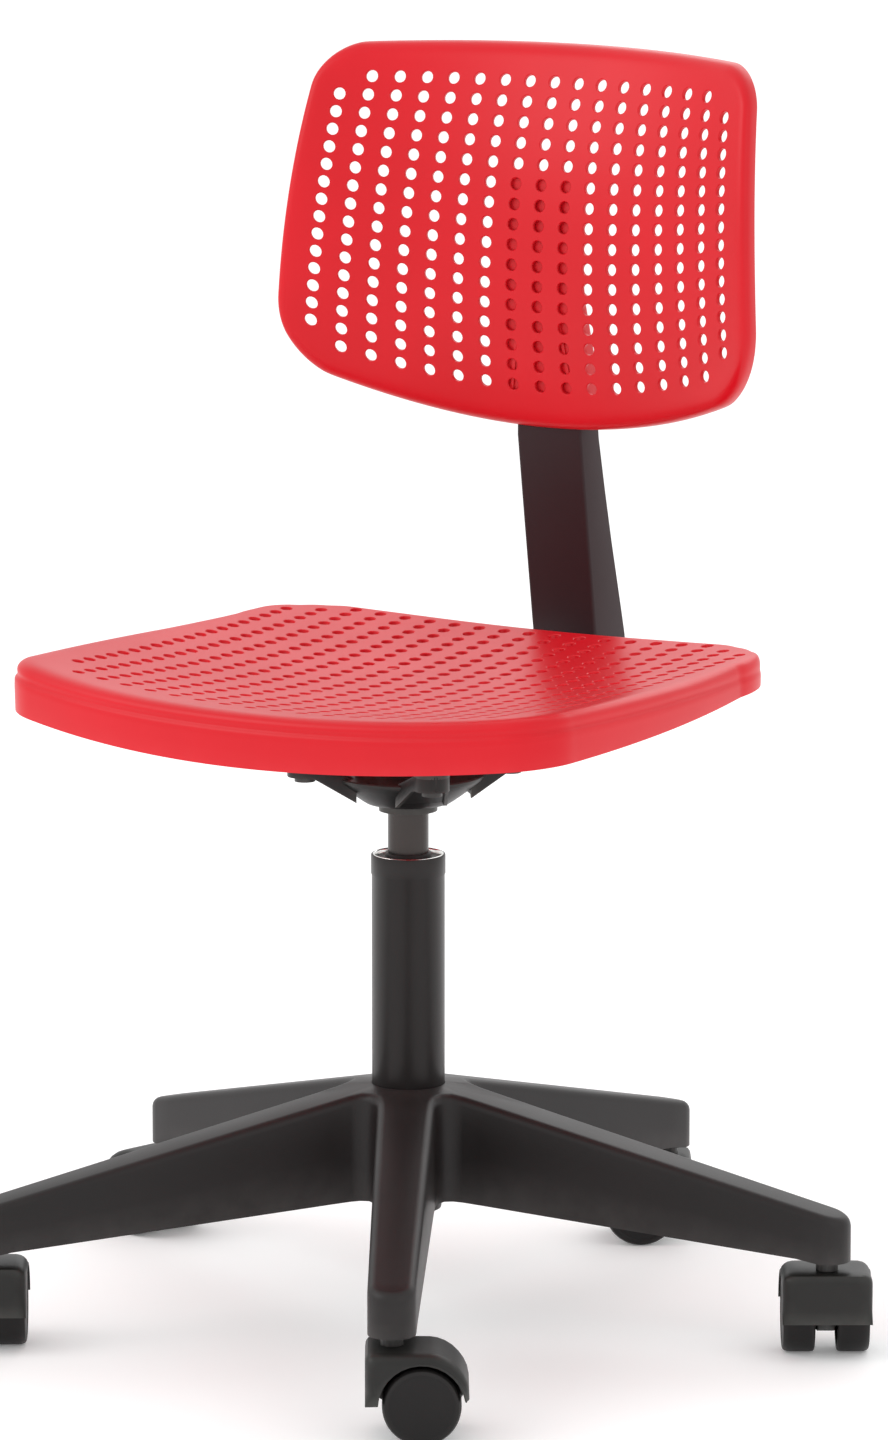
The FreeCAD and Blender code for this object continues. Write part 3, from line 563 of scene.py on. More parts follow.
# the rim's depth changes slowly from corner to corner
def evenShares(shares, targets, middle):
    order = sorted(range(len(shares)), key=lambda place: math.atan2(
        targets[place][0][1] - middle[1], targets[place][0][0] - middle[0]))
    run = [shares[place] for place in order]
    count = len(run)
    run = [min(run[(index + step) % count] for step in (-2, -1, 0, 1, 2))
           for index in range(count)]
    for step in range(3):
        run = [(run[index - 1] + 2 * run[index] + run[(index + 1) % count]) / 4
               for index in range(count)]
    even = [0] * count
    for place, share in zip(order, run):
        even[place] = share
    return even


# a grid whose cells each hold one hole, cut round, then pulled out to the rim and over it
def perforatedShell(name, spec, plan, surface, lift):
    columns = spec["columns"]
    rows = spec["rows"]
    pickNothing()
    bpy.ops.mesh.primitive_grid_add(x_subdivisions=4 * columns, y_subdivisions=4 * rows, size=1)
    piece = bpy.context.view_layer.objects.active
    piece.name = name
    piece.data.name = name
    bpy.ops.object.mode_set(mode="EDIT")
    bpy.ops.mesh.select_mode(type="VERT")
    mesh = editMesh(piece)
    clearPick(mesh)
    cells = {}
    for vert in mesh.verts:
        a = round((vert.co.x + 0.5) * 4 * columns)
        b = round((vert.co.y + 0.5) * 4 * rows)
        cells[vert.index] = (a, b)
        if a % 4 == 2 and b % 4 == 2 and (a // 4, b // 4) not in spec["blanks"]:
            vert.select = True
    grid = mesh.verts.layers.int.new("cell")
    mesh.verts.ensure_lookup_table()
    for vert in mesh.verts:
        vert[grid] = cells[vert.index][0] * 1000 + cells[vert.index][1]
    bmesh.update_edit_mesh(piece.data)
    bpy.ops.mesh.delete(type="VERT")

    # the corner cells that hold no hole go too, so that the grid's corners are stepped
    bpy.ops.mesh.select_mode(type="FACE")
    mesh = editMesh(piece)
    clearPick(mesh)
    grid = mesh.verts.layers.int.get("cell")
    for face in mesh.faces:
        a = sum(vert[grid] // 1000 for vert in face.verts) / 4
        b = sum(vert[grid] % 1000 for vert in face.verts) / 4
        if (int(a // 4), int(b // 4)) in spec["blanks"]:
            face.select = True
    bmesh.update_edit_mesh(piece.data)
    bpy.ops.mesh.delete(type="FACE")
    # leaving edit mode closes the gaps in the numbering
    bpy.ops.object.mode_set(mode="OBJECT")
    bpy.ops.object.mode_set(mode="EDIT")
    bpy.ops.mesh.select_mode(type="VERT")

    mesh = editMesh(piece)
    grid = mesh.verts.layers.int.get("cell")
    rim = []
    flats = {}
    for vert in mesh.verts:
        a, b = vert[grid] // 1000, vert[grid] % 1000
        column, row = a // 4, b // 4
        across, along = a / 4 - columns / 2, b / 4 - rows / 2
        da, db = a % 4 - 2, b % 4 - 2
        if abs(da) <= 1 and abs(db) <= 1 and (column, row) not in spec["blanks"]:
            angle = math.atan2(db, da)
            middle = plan(column + 0.5 - columns / 2, row + 0.5 - rows / 2)
            vert.co = surface(middle[0] + spec["holeRadius"] * math.cos(angle),
                              middle[1] + spec["holeRadius"] * math.sin(angle))
        else:
            flat = plan(across, along)
            vert.co = surface(*flat)
            if vert.is_boundary:
                rim.append(vert.index)
                flats[vert.index] = spec["flatten"](*flat)
    bmesh.update_edit_mesh(piece.data)

    targets = rimTargets(spec["outline"], spec["middle"], [flats[index] for index in rim])
    firstInset = spec["profile"][0][0]
    shares = []
    for index, (edge, inward) in zip(rim, targets):
        startX, startY = flats[index]
        away = (startX - edge[0]) * inward[0] + (startY - edge[1]) * inward[1]
        if away < spec["margin"]:
            startX += inward[0] * (spec["margin"] - away)
            startY += inward[1] * (spec["margin"] - away)
            away = spec["margin"]
            flats[index] = (startX, startY)
            mesh.verts[index].co = lift(startX, startY, 0)
        shares.append(min(1, 0.8 * away / firstInset))
    shares = evenShares(shares, targets, spec["middle"])
    bmesh.update_edit_mesh(piece.data)
    chain = rim
    for share in spec["bridges"]:
        chain = pullEdges(piece, chain)
        places = []
        for index, (edge, inward), room in zip(rim, targets, shares):
            endX = edge[0] + inward[0] * firstInset * room
            endY = edge[1] + inward[1] * firstInset * room
            startX, startY = flats[index]
            places.append(lift(startX + (endX - startX) * share,
                               startY + (endY - startY) * share, 0))
        setPlaces(piece, chain, places)
    for inset, drop in spec["profile"]:
        chain = pullEdges(piece, chain)
        places = []
        for (edge, inward), room in zip(targets, shares):
            places.append(lift(edge[0] + inward[0] * inset * room,
                               edge[1] + inward[1] * inset * room, drop))
        setPlaces(piece, chain, places)
    tidyMesh(piece)
    faceOut(piece, spec["faceTest"], spec["faceWay"])
    useModifier(piece, "SUBSURF", levels=1, render_levels=1)
    markHoles(piece, spec)
    giveWall(piece, spec["skin"] * mm)
    softenHoles(piece, spec)
    smoothUp(piece, 40)
    return piece


# the rings round the holes are kept in a vertex group, so that only their outer edges are eased
def markHoles(piece, spec):
    ring = piece.vertex_groups.new(name="holes")
    counts = {}
    for face in piece.data.polygons:
        for key in face.edge_keys:
            counts[key] = counts.get(key, 0) + 1
    loose = [key for key, count in counts.items() if count == 1]
    neighbours = {}
    for first, second in loose:
        neighbours.setdefault(first, []).append(second)
        neighbours.setdefault(second, []).append(first)
    seen = set()
    for start in neighbours:
        if start in seen:
            continue
        loop = []
        queue = [start]
        while queue:
            index = queue.pop()
            if index in seen:
                continue
            seen.add(index)
            loop.append(index)
            queue.extend(neighbours[index])
        if len(loop) <= 16:
            ring.add(loop, 1.0, "REPLACE")


def softenHoles(piece, spec):
    pickOnly(piece)
    bpy.ops.object.mode_set(mode="EDIT")
    bpy.ops.mesh.select_mode(type="EDGE")
    mesh = editMesh(piece)
    clearPick(mesh)
    layer = mesh.verts.layers.deform.active
    group = piece.vertex_groups["holes"].index
    for edge in mesh.edges:
        inHole = all(group in vert[layer] for vert in edge.verts)
        if inHole and len(edge.link_faces) == 2:
            first, second = edge.link_faces
            if first.normal.dot(second.normal) < 0.5:
                outward = max((first.normal, second.normal), key=spec["outward"])
                if spec["outward"](outward) > 0.5:
                    edge.select = True
    bmesh.update_edit_mesh(piece.data)
    bpy.ops.mesh.bevel(offset=spec["holeEdge"] * mm, segments=1, affect="EDGES")
    bpy.ops.object.mode_set(mode="OBJECT")
    piece.vertex_groups.clear()


# an open sheet's faces are turned so that the one nearest a point looks a stated way
def faceOut(piece, point, way):
    pickOnly(piece)
    nearest = min(piece.data.polygons, key=lambda face: (face.center - Vector(point)).length)
    if nearest.normal.dot(Vector(way)) < 0:
        bpy.ops.object.mode_set(mode="EDIT")
        bpy.ops.mesh.select_all(action="SELECT")
        bpy.ops.mesh.flip_normals()
        bpy.ops.object.mode_set(mode="OBJECT")


seat = {
    "columns": 19, "rows": 24, "holeRadius": 4.6, "columnPitch": 20.43, "rowPitch": 14.0,
    "rowCentre": -3.0, "frontCurve": 9.0, "halfWidth": 215, "halfDepth": 195, "centre": -20,
    "crown": 455.8, "sideRise": 10.0, "endRise": 3.6, "tilt": 0.4, "twist": -2.9, "dish": 13.0,
    "skin": 2.8, "holeEdge": 0.55, "hemDrop": 29.2, "hemTaper": 8.8, "bossPlace": 50.9,
    "margin": 6.5, "bossSink": 1.2, "bossFoot": [(12, 405), (11, 404), (3, 404), (3, 408), (0, 408)],
    "arcs": [[(0, -214.5), (97, -206.5), (186, -184)],
             [(186, -184), (208.5, -168.5), (217.5, -141)],
             [(217.5, -141), (218.5, -28), (206.5, 95)],
             [(206.5, 95), (191.5, 146), (147.5, 169)],
             [(147.5, 169), (80, 173), (0, 174.5)]],
    # inset from the outline and drop below the crown
    "profile": [(17, 0), (12, 0.3), (8, 1.2), (4.8, 2.8), (2.6, 5.2), (1.9, 7.6), (2.3, 9.6),
                (2.4, 11.4), (0.5, 13.2), (0.0, 14.8), (0.6, "hem")],
}


def makeSeat():
    spec = seat
    half, deep, centre = spec["halfWidth"], spec["halfDepth"], spec["centre"]

    def edgeHeight(x, y):
        wide, far = x / half, (y - centre) / deep
        return (spec["crown"] + spec["sideRise"] * wide ** 2 + spec["tilt"] * far
                + spec["endRise"] * far ** 2 + spec["twist"] * wide ** 2 * far)

    def height(x, y):
        wide, far = x / half, (y - centre) / deep
        middle = max(0, 1 - wide ** 2) * max(0, 1 - far ** 2)
        return edgeHeight(x, y) - spec["dish"] * middle

    def plan(across, along):
        share = 0.5 - along / spec["rows"]
        y = spec["rowCentre"] + along * spec["rowPitch"]
        y += spec["frontCurve"] * share * (across / 9) ** 2
        return across * spec["columnPitch"], y

    def surface(x, y):
        return Vector((x * mm, y * mm, height(x, y) * mm))

    # the last ring lies on the hem, which rises towards the back
    def lift(x, y, drop):
        if drop == "hem":
            far = (y - centre) / deep
            drop = spec["hemDrop"] - spec["hemTaper"] * far
            return Vector((x * mm, y * mm, (edgeHeight(x, y) - drop) * mm))
        return Vector((x * mm, y * mm, (height(x, y) - drop) * mm))

    work = dict(spec)
    work["blanks"] = emptyCells(spec["columns"], spec["rows"], 2)
    # the rear row ends one hole earlier
    work["blanks"] |= {(1, spec["rows"] - 1), (spec["columns"] - 2, spec["rows"] - 1)}
    work["outline"] = outlinePoints(spec["arcs"])
    work["middle"] = (0, centre)
    work["flatten"] = lambda x, y: (x, y)
    work["outward"] = lambda way: way.z
    work["faceTest"] = (0.0102, -0.003, 0.445)
    work["faceWay"] = (0, 0, 1)
    work["bridges"] = (0.5, )
    piece = perforatedShell("seatShell", work, plan, surface, lift)

    bosses = []
    for sideX, sideY in ((1, 1), (-1, 1), (-1, -1), (1, -1)):
        x, y = sideX * spec["bossPlace"], sideY * spec["bossPlace"]
        top = height(x, y) - spec["bossSink"]
        boss = turnedPiece("seatBoss", [(0, top), (12, top)] + spec["bossFoot"], 40)
        move(boss, Matrix.Translation((x * mm, y * mm, 0)))
        smoothUp(boss)
        bosses.append(boss)
    return joinPieces(piece, bosses)


def emptyCells(columns, rows, depth):
    blanks = set()
    for column in (0, columns - 1):
        for row in range(depth):
            blanks.add((column, row))
            blanks.add((column, rows - 1 - row))
    return blanks


seatPiece = makeSeat()
place(seatPiece, "seat", "red_plastic", finishes["redPlastic"], ["seat_shell"])
print("seat made", len(seatPiece.data.polygons))


backrest = {
    "columns": 17, "rows": 16, "holeRadius": 4.65, "columnPitch": 20.43, "rowPitch": 14.07,
    "middleHeight": 733.7, "skin": 2.8, "holeEdge": 0.55, "margin": 6.5,
    "arcs": [[(0, 130.2), (80, 129.2), (149.6, 126.7)],
             [(149.6, 126.7), (168.1, 115.7), (176.6, 98.8)],
             [(176.6, 98.8), (185.9, 15), (190.4, -50)],
             [(190.4, -50), (184.1, -78.8), (160.7, -104.7)],
             [(160.7, -104.7), (88, -126.6), (0, -135.6)]],
    # inset from the outline and depth behind the front skin
    "profile": [(12, 0), (8, 0.25), (5, 1.0), (2.6, 2.6), (0.9, 5.0), (0.1, 8.0), (0, 12.0),
                (0.3, 15.8)],
    "sleeveHalf": 29, "sleeveTongue": 15, "sleeveLow": 604, "sleeveShoulder": 690,
    "sleeveTop": 776, "sleeveBackLow": 215.8, "sleeveBackTop": 206, "backing": 3.2,
    "backingHalf": 28, "backingWall": 2.2, "sleeveWall": 2.4,
}


def backrestFront(u, v):
    high = v / 100
    bend = (1.897 - 0.084 * high + 0.155 * high ** 2) / 1000
    lean = 0.0768 * v + 11.21 * high ** 2 + 0.904 * high ** 3 + 0.157 * high ** 4
    roll = (1 - math.cos(u * bend)) / bend + 0.359 * (u / 100) ** 4
    rise = 4.91 * (u / 100) ** 2
    return math.sin(u * bend) / bend, 168.3 + lean - roll, 0.997 * v + rise


# the sheet's own measures for a point seen from the front
def backrestMeasure(x, rise):
    u, v = x, rise
    for step in range(25):
        gotX, gotY, gotRise = backrestFront(u, v)
        u += x - gotX
        v += rise - gotRise
    return u, v


def makeBackrest():
    spec = backrest
    middle = spec["middleHeight"]

    def plan(across, along):
        v = along * spec["rowPitch"]
        v *= 1 - 0.0482 * (across / 5) ** 2
        u = across * spec["columnPitch"] * (1 - 0.0482 * v / 100)
        return u, v

    def surface(u, v):
        x, y, rise = backrestFront(u, v)
        return Vector((x * mm, y * mm, (middle + rise) * mm))

    def lift(x, rise, drop):
        u, v = backrestMeasure(x, rise)
        y = backrestFront(u, v)[1]
        return Vector((x * mm, (y + drop) * mm, (middle + rise) * mm))

    work = dict(spec)
    work["blanks"] = emptyCells(spec["columns"], spec["rows"], 1)
    work["outline"] = outlinePoints(spec["arcs"])
    work["middle"] = (0, 0)
    work["flatten"] = lambda u, v: backrestFront(u, v)[::2]
    work["outward"] = lambda way: -way.y
    work["faceTest"] = (0.0102, 0.168, 0.734)
    work["faceWay"] = (0, -1, 0)
    work["bridges"] = (0.5, )
    return perforatedShell("backrestShell", work, plan, surface, lift)


def skinBehind(x, height, extra):
    u, v = backrestMeasure(x, height - backrest["middleHeight"])
    return backrestFront(u, v)[1] + extra


# the sleeve that takes the bar's top narrows upwards; it is open below and towards the sheet
def makeSleeve():
    spec = backrest
    low, top, shoulder = spec["sleeveLow"], spec["sleeveTop"], spec["sleeveShoulder"]
    outlines = []
    levels = [(low, 0), (low + 29, 0), (low + 58, 0), (shoulder - 6, 0), (shoulder + 6, 0),
              (shoulder + 40, 0), (top - 9, 0), (top - 5, 0.7), (top - 2, 2.6), (top - 0.4, 6.0)]
    for height, inset in levels:
        share = (height - low) / (top - low)
        narrow = min(1, (height - low) / (shoulder - low))
        side = between(spec["sleeveHalf"], spec["sleeveTongue"], narrow) - inset
        back = between(spec["sleeveBackLow"], spec["sleeveBackTop"], share) - inset
        corner = min(6, side * 0.6)
        front = skinBehind(side, height, spec["sleeveWall"])
        points = [(-side, front), (-side, (front + back) / 2)]
        for step in range(5):
            angle = math.radians(180 - 22.5 * step)
            points.append((-side + corner + corner * math.cos(angle),
                           back - corner + corner * math.sin(angle)))
        points.append((0, back))
        points += [(-x, y) for x, y in reversed(points[:-1])]
        outlines.append([(x * mm, y * mm, height * mm) for x, y in points])
    front = outlines[-1][0][1]
    outlines.append([(x, front + (y - front) * 0.5, top * mm) for x, y, z in outlines[-1]])
    outlines.append([(x, front, top * mm) for x, y, z in outlines[-1]])
    sleeve = loftPiece("backrestSleeve", outlines, closed=False)
    faceOut(sleeve, (0, 0.212, 0.69), (0, 1, 0))
    giveWall(sleeve, spec["sleeveWall"] * mm)
    smoothUp(sleeve)
    # the backing closes the holes in front of the sleeve
    half = spec["backingHalf"]
    rows = []
    for height in (low - 1, low + 40, low + 80, low + 120, top - 3, top):
        rows.append([(x * mm, skinBehind(x, height, spec["backing"]) * mm, height * mm)
                     for x in (-half, -20, -10, 0, 10, 20, half)])
    backing = loftPiece("sleeveBacking", rows, closed=False)
    faceOut(backing, (0, 0.172, 0.69), (0, -1, 0))
    giveWall(backing, spec["backingWall"] * mm)
    smoothUp(backing)
    return joinPieces(sleeve, [backing])


backrestPiece = makeBackrest()
backrestPiece = joinPieces(backrestPiece, [makeSleeve()])
place(backrestPiece, "seat", "red_plastic", finishes["redPlastic"], ["backrest_shell"])
print("backrest made", len(backrestPiece.data.polygons))


# the star base

star = {
    "legs": 5, "turn": 12.1, "rootReach": 26, "rootHalf": 20, "rootLow": 93, "rootTop": 169.5,
    "tipReach": 301, "tipHalf": 16, "tipLow": 69.5, "tipTop": 102, "edge": 6, "wall": 3.4,
    "tubeHole": 25.35, "stations": (60, 85, 110, 140, 170, 200, 230, 260, 284),
    "filletCentre": (46.8, 34), "ribWall": 2.4, "bossLow": 68, "bossReach": 287,
    # the valley's points and how far round the tube's hole each one's spine point lies
    "valley": (((35.44, -25.75), -36), ((40.4, -21.53), -24), ((46.8, -20), -12)),
    "hub": [(25.35, 91), (32, 91), (33, 92), (33, 150), (30, 163), (25.35, 163)],
    "boss": [(5.6, 68.1), (13.6, 68.1), (13.6, 90), (5.6, 90)],
    "ribReaches": (36, 66, 96, 126, 156, 186, 216, 246, 276),
}


def legShare(reach):
    return (reach - star["rootReach"]) / (star["tipReach"] - star["rootReach"])


def legTop(reach):
    return between(star["rootTop"], star["tipTop"], legShare(reach))


def legLow(reach):
    low = between(star["rootLow"], star["tipLow"], legShare(reach))
    return max(low, star["tipLow"]) if reach < star["bossReach"] else star["bossLow"]


def legHalf(reach):
    return between(star["rootHalf"], star["tipHalf"], legShare(reach))


# one leg's outline as (place, outward way, spine point), from one valley to the next
def legOutline():
    centreX, centreY = star["filletCentre"]
    hole = star["tubeHole"]
    half = []
    for place, angle in star["valley"]:
        wayX, wayY = centreX - place[0], -centreY - place[1]
        length = math.hypot(wayX, wayY)
        turn = math.radians(angle)
        half.append((place, (wayX / length, wayY / length),
                     (hole * math.cos(turn), hole * math.sin(turn))))
    for reach in star["stations"]:
        spine = (reach, 0)
        if reach == 60:
            spine = (hole, 0)
        elif reach == 85:
            spine = (66, 0)
        half.append(((reach, -legHalf(reach)), (0, -1), spine))
    tip = star["tipReach"]
    for step in range(7):
        angle = math.radians(-90 + 15 * step)
        way = (math.cos(angle), math.sin(angle))
        half.append(((tip + star["tipHalf"] * way[0], star["tipHalf"] * way[1]), way, (tip, 0)))
    whole = list(half)
    for place, way, spine in reversed(half[:-1]):
        whole.append(((place[0], -place[1]), (way[0], -way[1]), (spine[0], -spine[1])))
    return whole[:-1]


def makeStar():
    edge = star["edge"]
    rounding = []
    for step in range(5):
        angle = math.radians(22.5 * step)
        rounding.append((edge * (1 - math.cos(angle)), edge * (1 - math.sin(angle))))
    rings = [[] for level in range(len(rounding) + 3)]
    for leg in range(star["legs"]):
        turn = math.radians(star["turn"] + 72 * leg)
        cos, sin = math.cos(turn), math.sin(turn)

        def put(ring, x, y, z):
            rings[ring].append(((x * cos - y * sin) * mm, (x * sin + y * cos) * mm, z * mm))

        for place, way, spine in legOutline():
            reach = min(place[0], 317)
            top = legTop(max(place[0], 36))
            low = legLow(reach)
            put(0, place[0], place[1], low)
            put(1, place[0], place[1], low + (top - edge - low) * 0.5)
            for level, (inset, drop) in enumerate(rounding):
                x = place[0] - way[0] * inset
                y = place[1] - way[1] * inset
                put(level + 2, x, y, legTop(max(x, 36)) - drop)
            spineTop = star["rootTop"] - 1.5 if math.hypot(*spine) < 30 else legTop(spine[0])
            put(len(rounding) + 2, spine[0], spine[1], spineTop)
    shell = loftPiece("starBase", rings, True, False, False)
    faceOut(shell, (0.1, 0.021, 0.15), (0, 0, 1))
    giveWall(shell, star["wall"] * mm)
    smoothUp(shell, 28)
    hub = turnedPiece("hub", star["hub"], closedProfile=True)
    smoothUp(hub)
    boss = turnedPiece("legBoss", star["boss"], 48, closedProfile=True)
    smoothUp(boss)
    low, high = [], []
    for step, reach in enumerate(star["ribReaches"]):
        side = (legHalf(reach) - 2.5) * (1 if step % 2 else -1)
        low.append((reach * mm, side * mm, (legLow(reach) + 4) * mm))
        high.append((reach * mm, side * mm, (legTop(reach) - 5) * mm))
    rib = loftPiece("legRib", [low, high], closed=False)
    giveWall(rib, star["ribWall"] * mm, 0)
    smoothUp(rib)
    turns = [Matrix.Rotation(math.radians(star["turn"] + 72 * leg), 4, "Z")
             for leg in range(star["legs"])]
    out = Matrix.Translation((star["tipReach"] * mm, 0, 0))
    parts = [hub] + spreadCopies(boss, [turn @ out for turn in turns]) + spreadCopies(rib, turns)
    return joinPieces(shell, parts)


starPiece = makeStar()
place(starPiece, "base", "black_plastic", finishes["blackNylon"], ["star_base"])
print("star base made", len(starPiece.data.polygons))


# the column's turned parts

column = {
    "tube": [(5.1, 80), (21.6, 80), (22.3, 80.4), (22.6, 81.2), (25, 100), (25, 313.6),
             (25.5, 314.4), (25.5, 326.8), (25.3, 327.5), (24.9, 327.8), (24.5, 327.6),
             (24.5, 323), (23, 323), (23, 100), (19.5, 84), (5.1, 84)],
    "ring": [(22.6, 323), (24.45, 323), (24.45, 327.3), (24.2, 327.9), (23.7, 328), (23.2, 327.7),
             (22.6, 326.6)],
    "bush": [(14.05, 255), (22.9, 255), (22.9, 323), (22.5, 323.4), (22.5, 325.2), (21.6, 325.4),
             (17.2, 325.2), (16, 325.8), (15.6, 327), (15.5, 328.4), (15.1, 329), (14.05, 329)],
    "cylinder": [(12, 124), (13.5, 124), (14, 124.6), (14, 357.4), (13.95, 359), (13, 398),
                 (3.05, 398), (3.05, 380), (12, 380)],
}


def makeColumn():
    for key, name, node, body, slotName, finish in (
            ("tube", "columnTube", "column_tube", "base", "black_steel", "tubeEnamel"),
            ("ring", "tubeRing", "tube_ring", "base", "bright_steel", "brightSteel"),
            ("bush", "guideBush", "guide_bush", "base", "black_plastic", "blackNylon"),
            ("cylinder", "liftCylinder", "lift_cylinder", "seat", "dark_steel", "darkSteel")):
        piece = turnedPiece(name, column[key], 96, closedProfile=True)
        smoothUp(piece)
        place(piece, body, slotName, finishes[finish], [node])


makeColumn()
print("column made")


# the plate under the seat: a dish with four arms and their pads

plate = {
    "dish": [(20.1, 364.5), (27.4, 363.5), (29.2, 363.9), (32.5, 366), (37, 369.2), (42, 373),
             (47, 377), (50.6, 380), (52, 381.8), (52.2, 383.2), (51.6, 384), (20.1, 384)],
    "armRoot": 40, "armTip": 72, "rootHalf": 18, "tipHalf": 12, "rootLow": 367.5,
    "tipLow": 384.5, "rootTop": 383.6, "tipTop": 396, "padRadius": 12, "edge": 2.2,
    "flange": 2.4, "pad": [(3.3, 394), (12, 394), (12, 403), (11, 404), (3.3, 404)],
    "padAngles": (20, 40, 60, 75, 86),
}


def makePlate():
    spec = plate
    dish = turnedPiece("seatPlate", spec["dish"], 80, closedProfile=True)
    smoothUp(dish, 30)

    def section(reach, half, low, top):
        edge = min(spec["edge"], half * 0.6)
        flange = spec["flange"] * min(1, half / 8)
        return [(reach * mm, y * mm, z * mm) for y, z in (
            (-half, low), (-half + flange, low), (-half + flange + 1.2, low + 2.4),
            (half - flange - 1.2, low + 2.4), (half - flange, low), (half, low),
            (half, low + 2), (half, top - edge), (half - edge * 0.3, top - edge * 0.3),
            (half - edge, top), (0, top), (-half + edge, top),
            (-half + edge * 0.3, top - edge * 0.3), (-half, top - edge), (-half, low + 2))]

    sections = []
    for step in range(7):
        share = step / 6
        sections.append(section(between(spec["armRoot"], spec["armTip"], share),
                                between(spec["rootHalf"], spec["tipHalf"], share),
                                between(spec["rootLow"], spec["tipLow"], min(1, share * 1.12)),
                                between(spec["rootTop"], spec["tipTop"], share)))
    for angle in spec["padAngles"]:
        turn = math.radians(angle)
        sections.append(section(spec["armTip"] + spec["padRadius"] * math.sin(turn),
                                spec["padRadius"] * math.cos(turn), spec["tipLow"], spec["tipTop"]))
    arm = loftPiece("plateArm", sections)
    smoothUp(arm, 30)
    pad = turnedPiece("platePad", spec["pad"], 40, closedProfile=True)
    smoothUp(pad)
    turns = [Matrix.Rotation(math.radians(45 + 90 * corner), 4, "Z") for corner in range(4)]
    out = Matrix.Translation((spec["armTip"] * mm, 0, 0))
    parts = spreadCopies(arm, turns) + spreadCopies(pad, [turn @ out for turn in turns])
    return joinPieces(dish, parts)


platePiece = makePlate()
place(platePiece, "seat", "black_steel", finishes["plateEnamel"], ["seat_plate"])
print("seat plate made")


# the bar that carries the backrest, as pairs of inner and outer (backward, height) points

bar = {
    "half": 26, "edge": 2.6, "tongueLow": 604, "tongueShoulder": 690, "tongueHalf": 12,
    "endInset": 1.5,
    "run": [((32, 414), (32, 390)), ((70, 414), (70, 390)), ((110, 414), (110, 390)),
            ((150, 414), (160, 390))],
    "outerBend": ((201.9, 436), 46, 105.1), "innerBend": ((184.8, 436), 22, 99.9),
    "rise": [((203.3, 458), (242.4, 463)), ((199.2, 485), (235.6, 488)), ((195.4, 510), (228, 516)),
             ((189.2, 551), (218.8, 553)), ((183.2, 592), (210.2, 590)), ((182.8, 606), (208.9, 606)),
             ((183.2, 650), (206.6, 650)), ((183.5, 690), (204.3, 690)),
             ((183.7, 720), (202.6, 720)), ((184, 760), (200.3, 760)),
             ((184.3, 764), (199.8, 764)), ((186, 765), (198, 765))],
}


def makeBar():
    pairs = list(bar["run"])
    (outerY, outerZ), outerRadius, outerTurn = bar["outerBend"]
    (innerY, innerZ), innerRadius, innerTurn = bar["innerBend"]
    for step in range(13):
        outer = math.radians(-90 + outerTurn * step / 12)
        inner = math.radians(-90 + innerTurn * step / 12)
        pairs.append(((innerY + innerRadius * math.cos(inner),
                       innerZ + innerRadius * math.sin(inner)),
                      (outerY + outerRadius * math.cos(outer),
                       outerZ + outerRadius * math.sin(outer))))
    pairs += bar["rise"]
    outlines = []
    last = len(pairs) - 1
    for place, (inner, outer) in enumerate(pairs):
        thick = math.hypot(outer[0] - inner[0], outer[1] - inner[1])
        edge = min(bar["edge"], thick * 0.4)
        height = (inner[1] + outer[1]) / 2
        narrow = (height - bar["tongueLow"]) / (bar["tongueShoulder"] - bar["tongueLow"])
        half = between(bar["half"], bar["tongueHalf"], min(1, max(0, narrow)))
        if place == last:
            half -= bar["endInset"]
        outline = []
        for x, along in roundedBox(half, thick / 2, edge, 4):
            share = 0.5 + along / thick
            outline.append((x * mm, between(inner[0], outer[0], share) * mm,
                            between(inner[1], outer[1], share) * mm))
        outlines.append(outline)
    piece = loftPiece("backBar", outlines)
    smoothUp(piece, 40)
    return piece


barPiece = makeBar()
place(barPiece, "seat", "black_bar", finishes["blackBar"], ["back_bar"])
print("back bar made")


# the release lever's handle

handle = {
    "height": 408.3, "stations": [(-190, 11.5, 3.2), (-189.4, 13.4, 4.6), (-187.6, 14.6, 5.6),
                                  (-184, 15, 6), (-160, 13.4, 6), (-135, 11.4, 6),
                                  (-121, 10.2, 5.9), (-118.8, 9.6, 5.2), (-118, 8.4, 4)],
}


def makeHandle():
    outlines = []
    for reach, half, thick in handle["stations"]:
        outlines.append([(reach * mm, y * mm, (handle["height"] + z) * mm)
                         for y, z in roundedBox(half, thick, min(3.5, thick * 0.8), 4)])
    piece = loftPiece("leverHandle", outlines)
    smoothUp(piece, 50)
    return piece


handlePiece = makeHandle()
place(handlePiece, "lever", "black_plastic", finishes["blackNylon"], ["lever_handle"])
print("handle made")


# castors: the hood and web, modelled once, and the wheel, modelled once

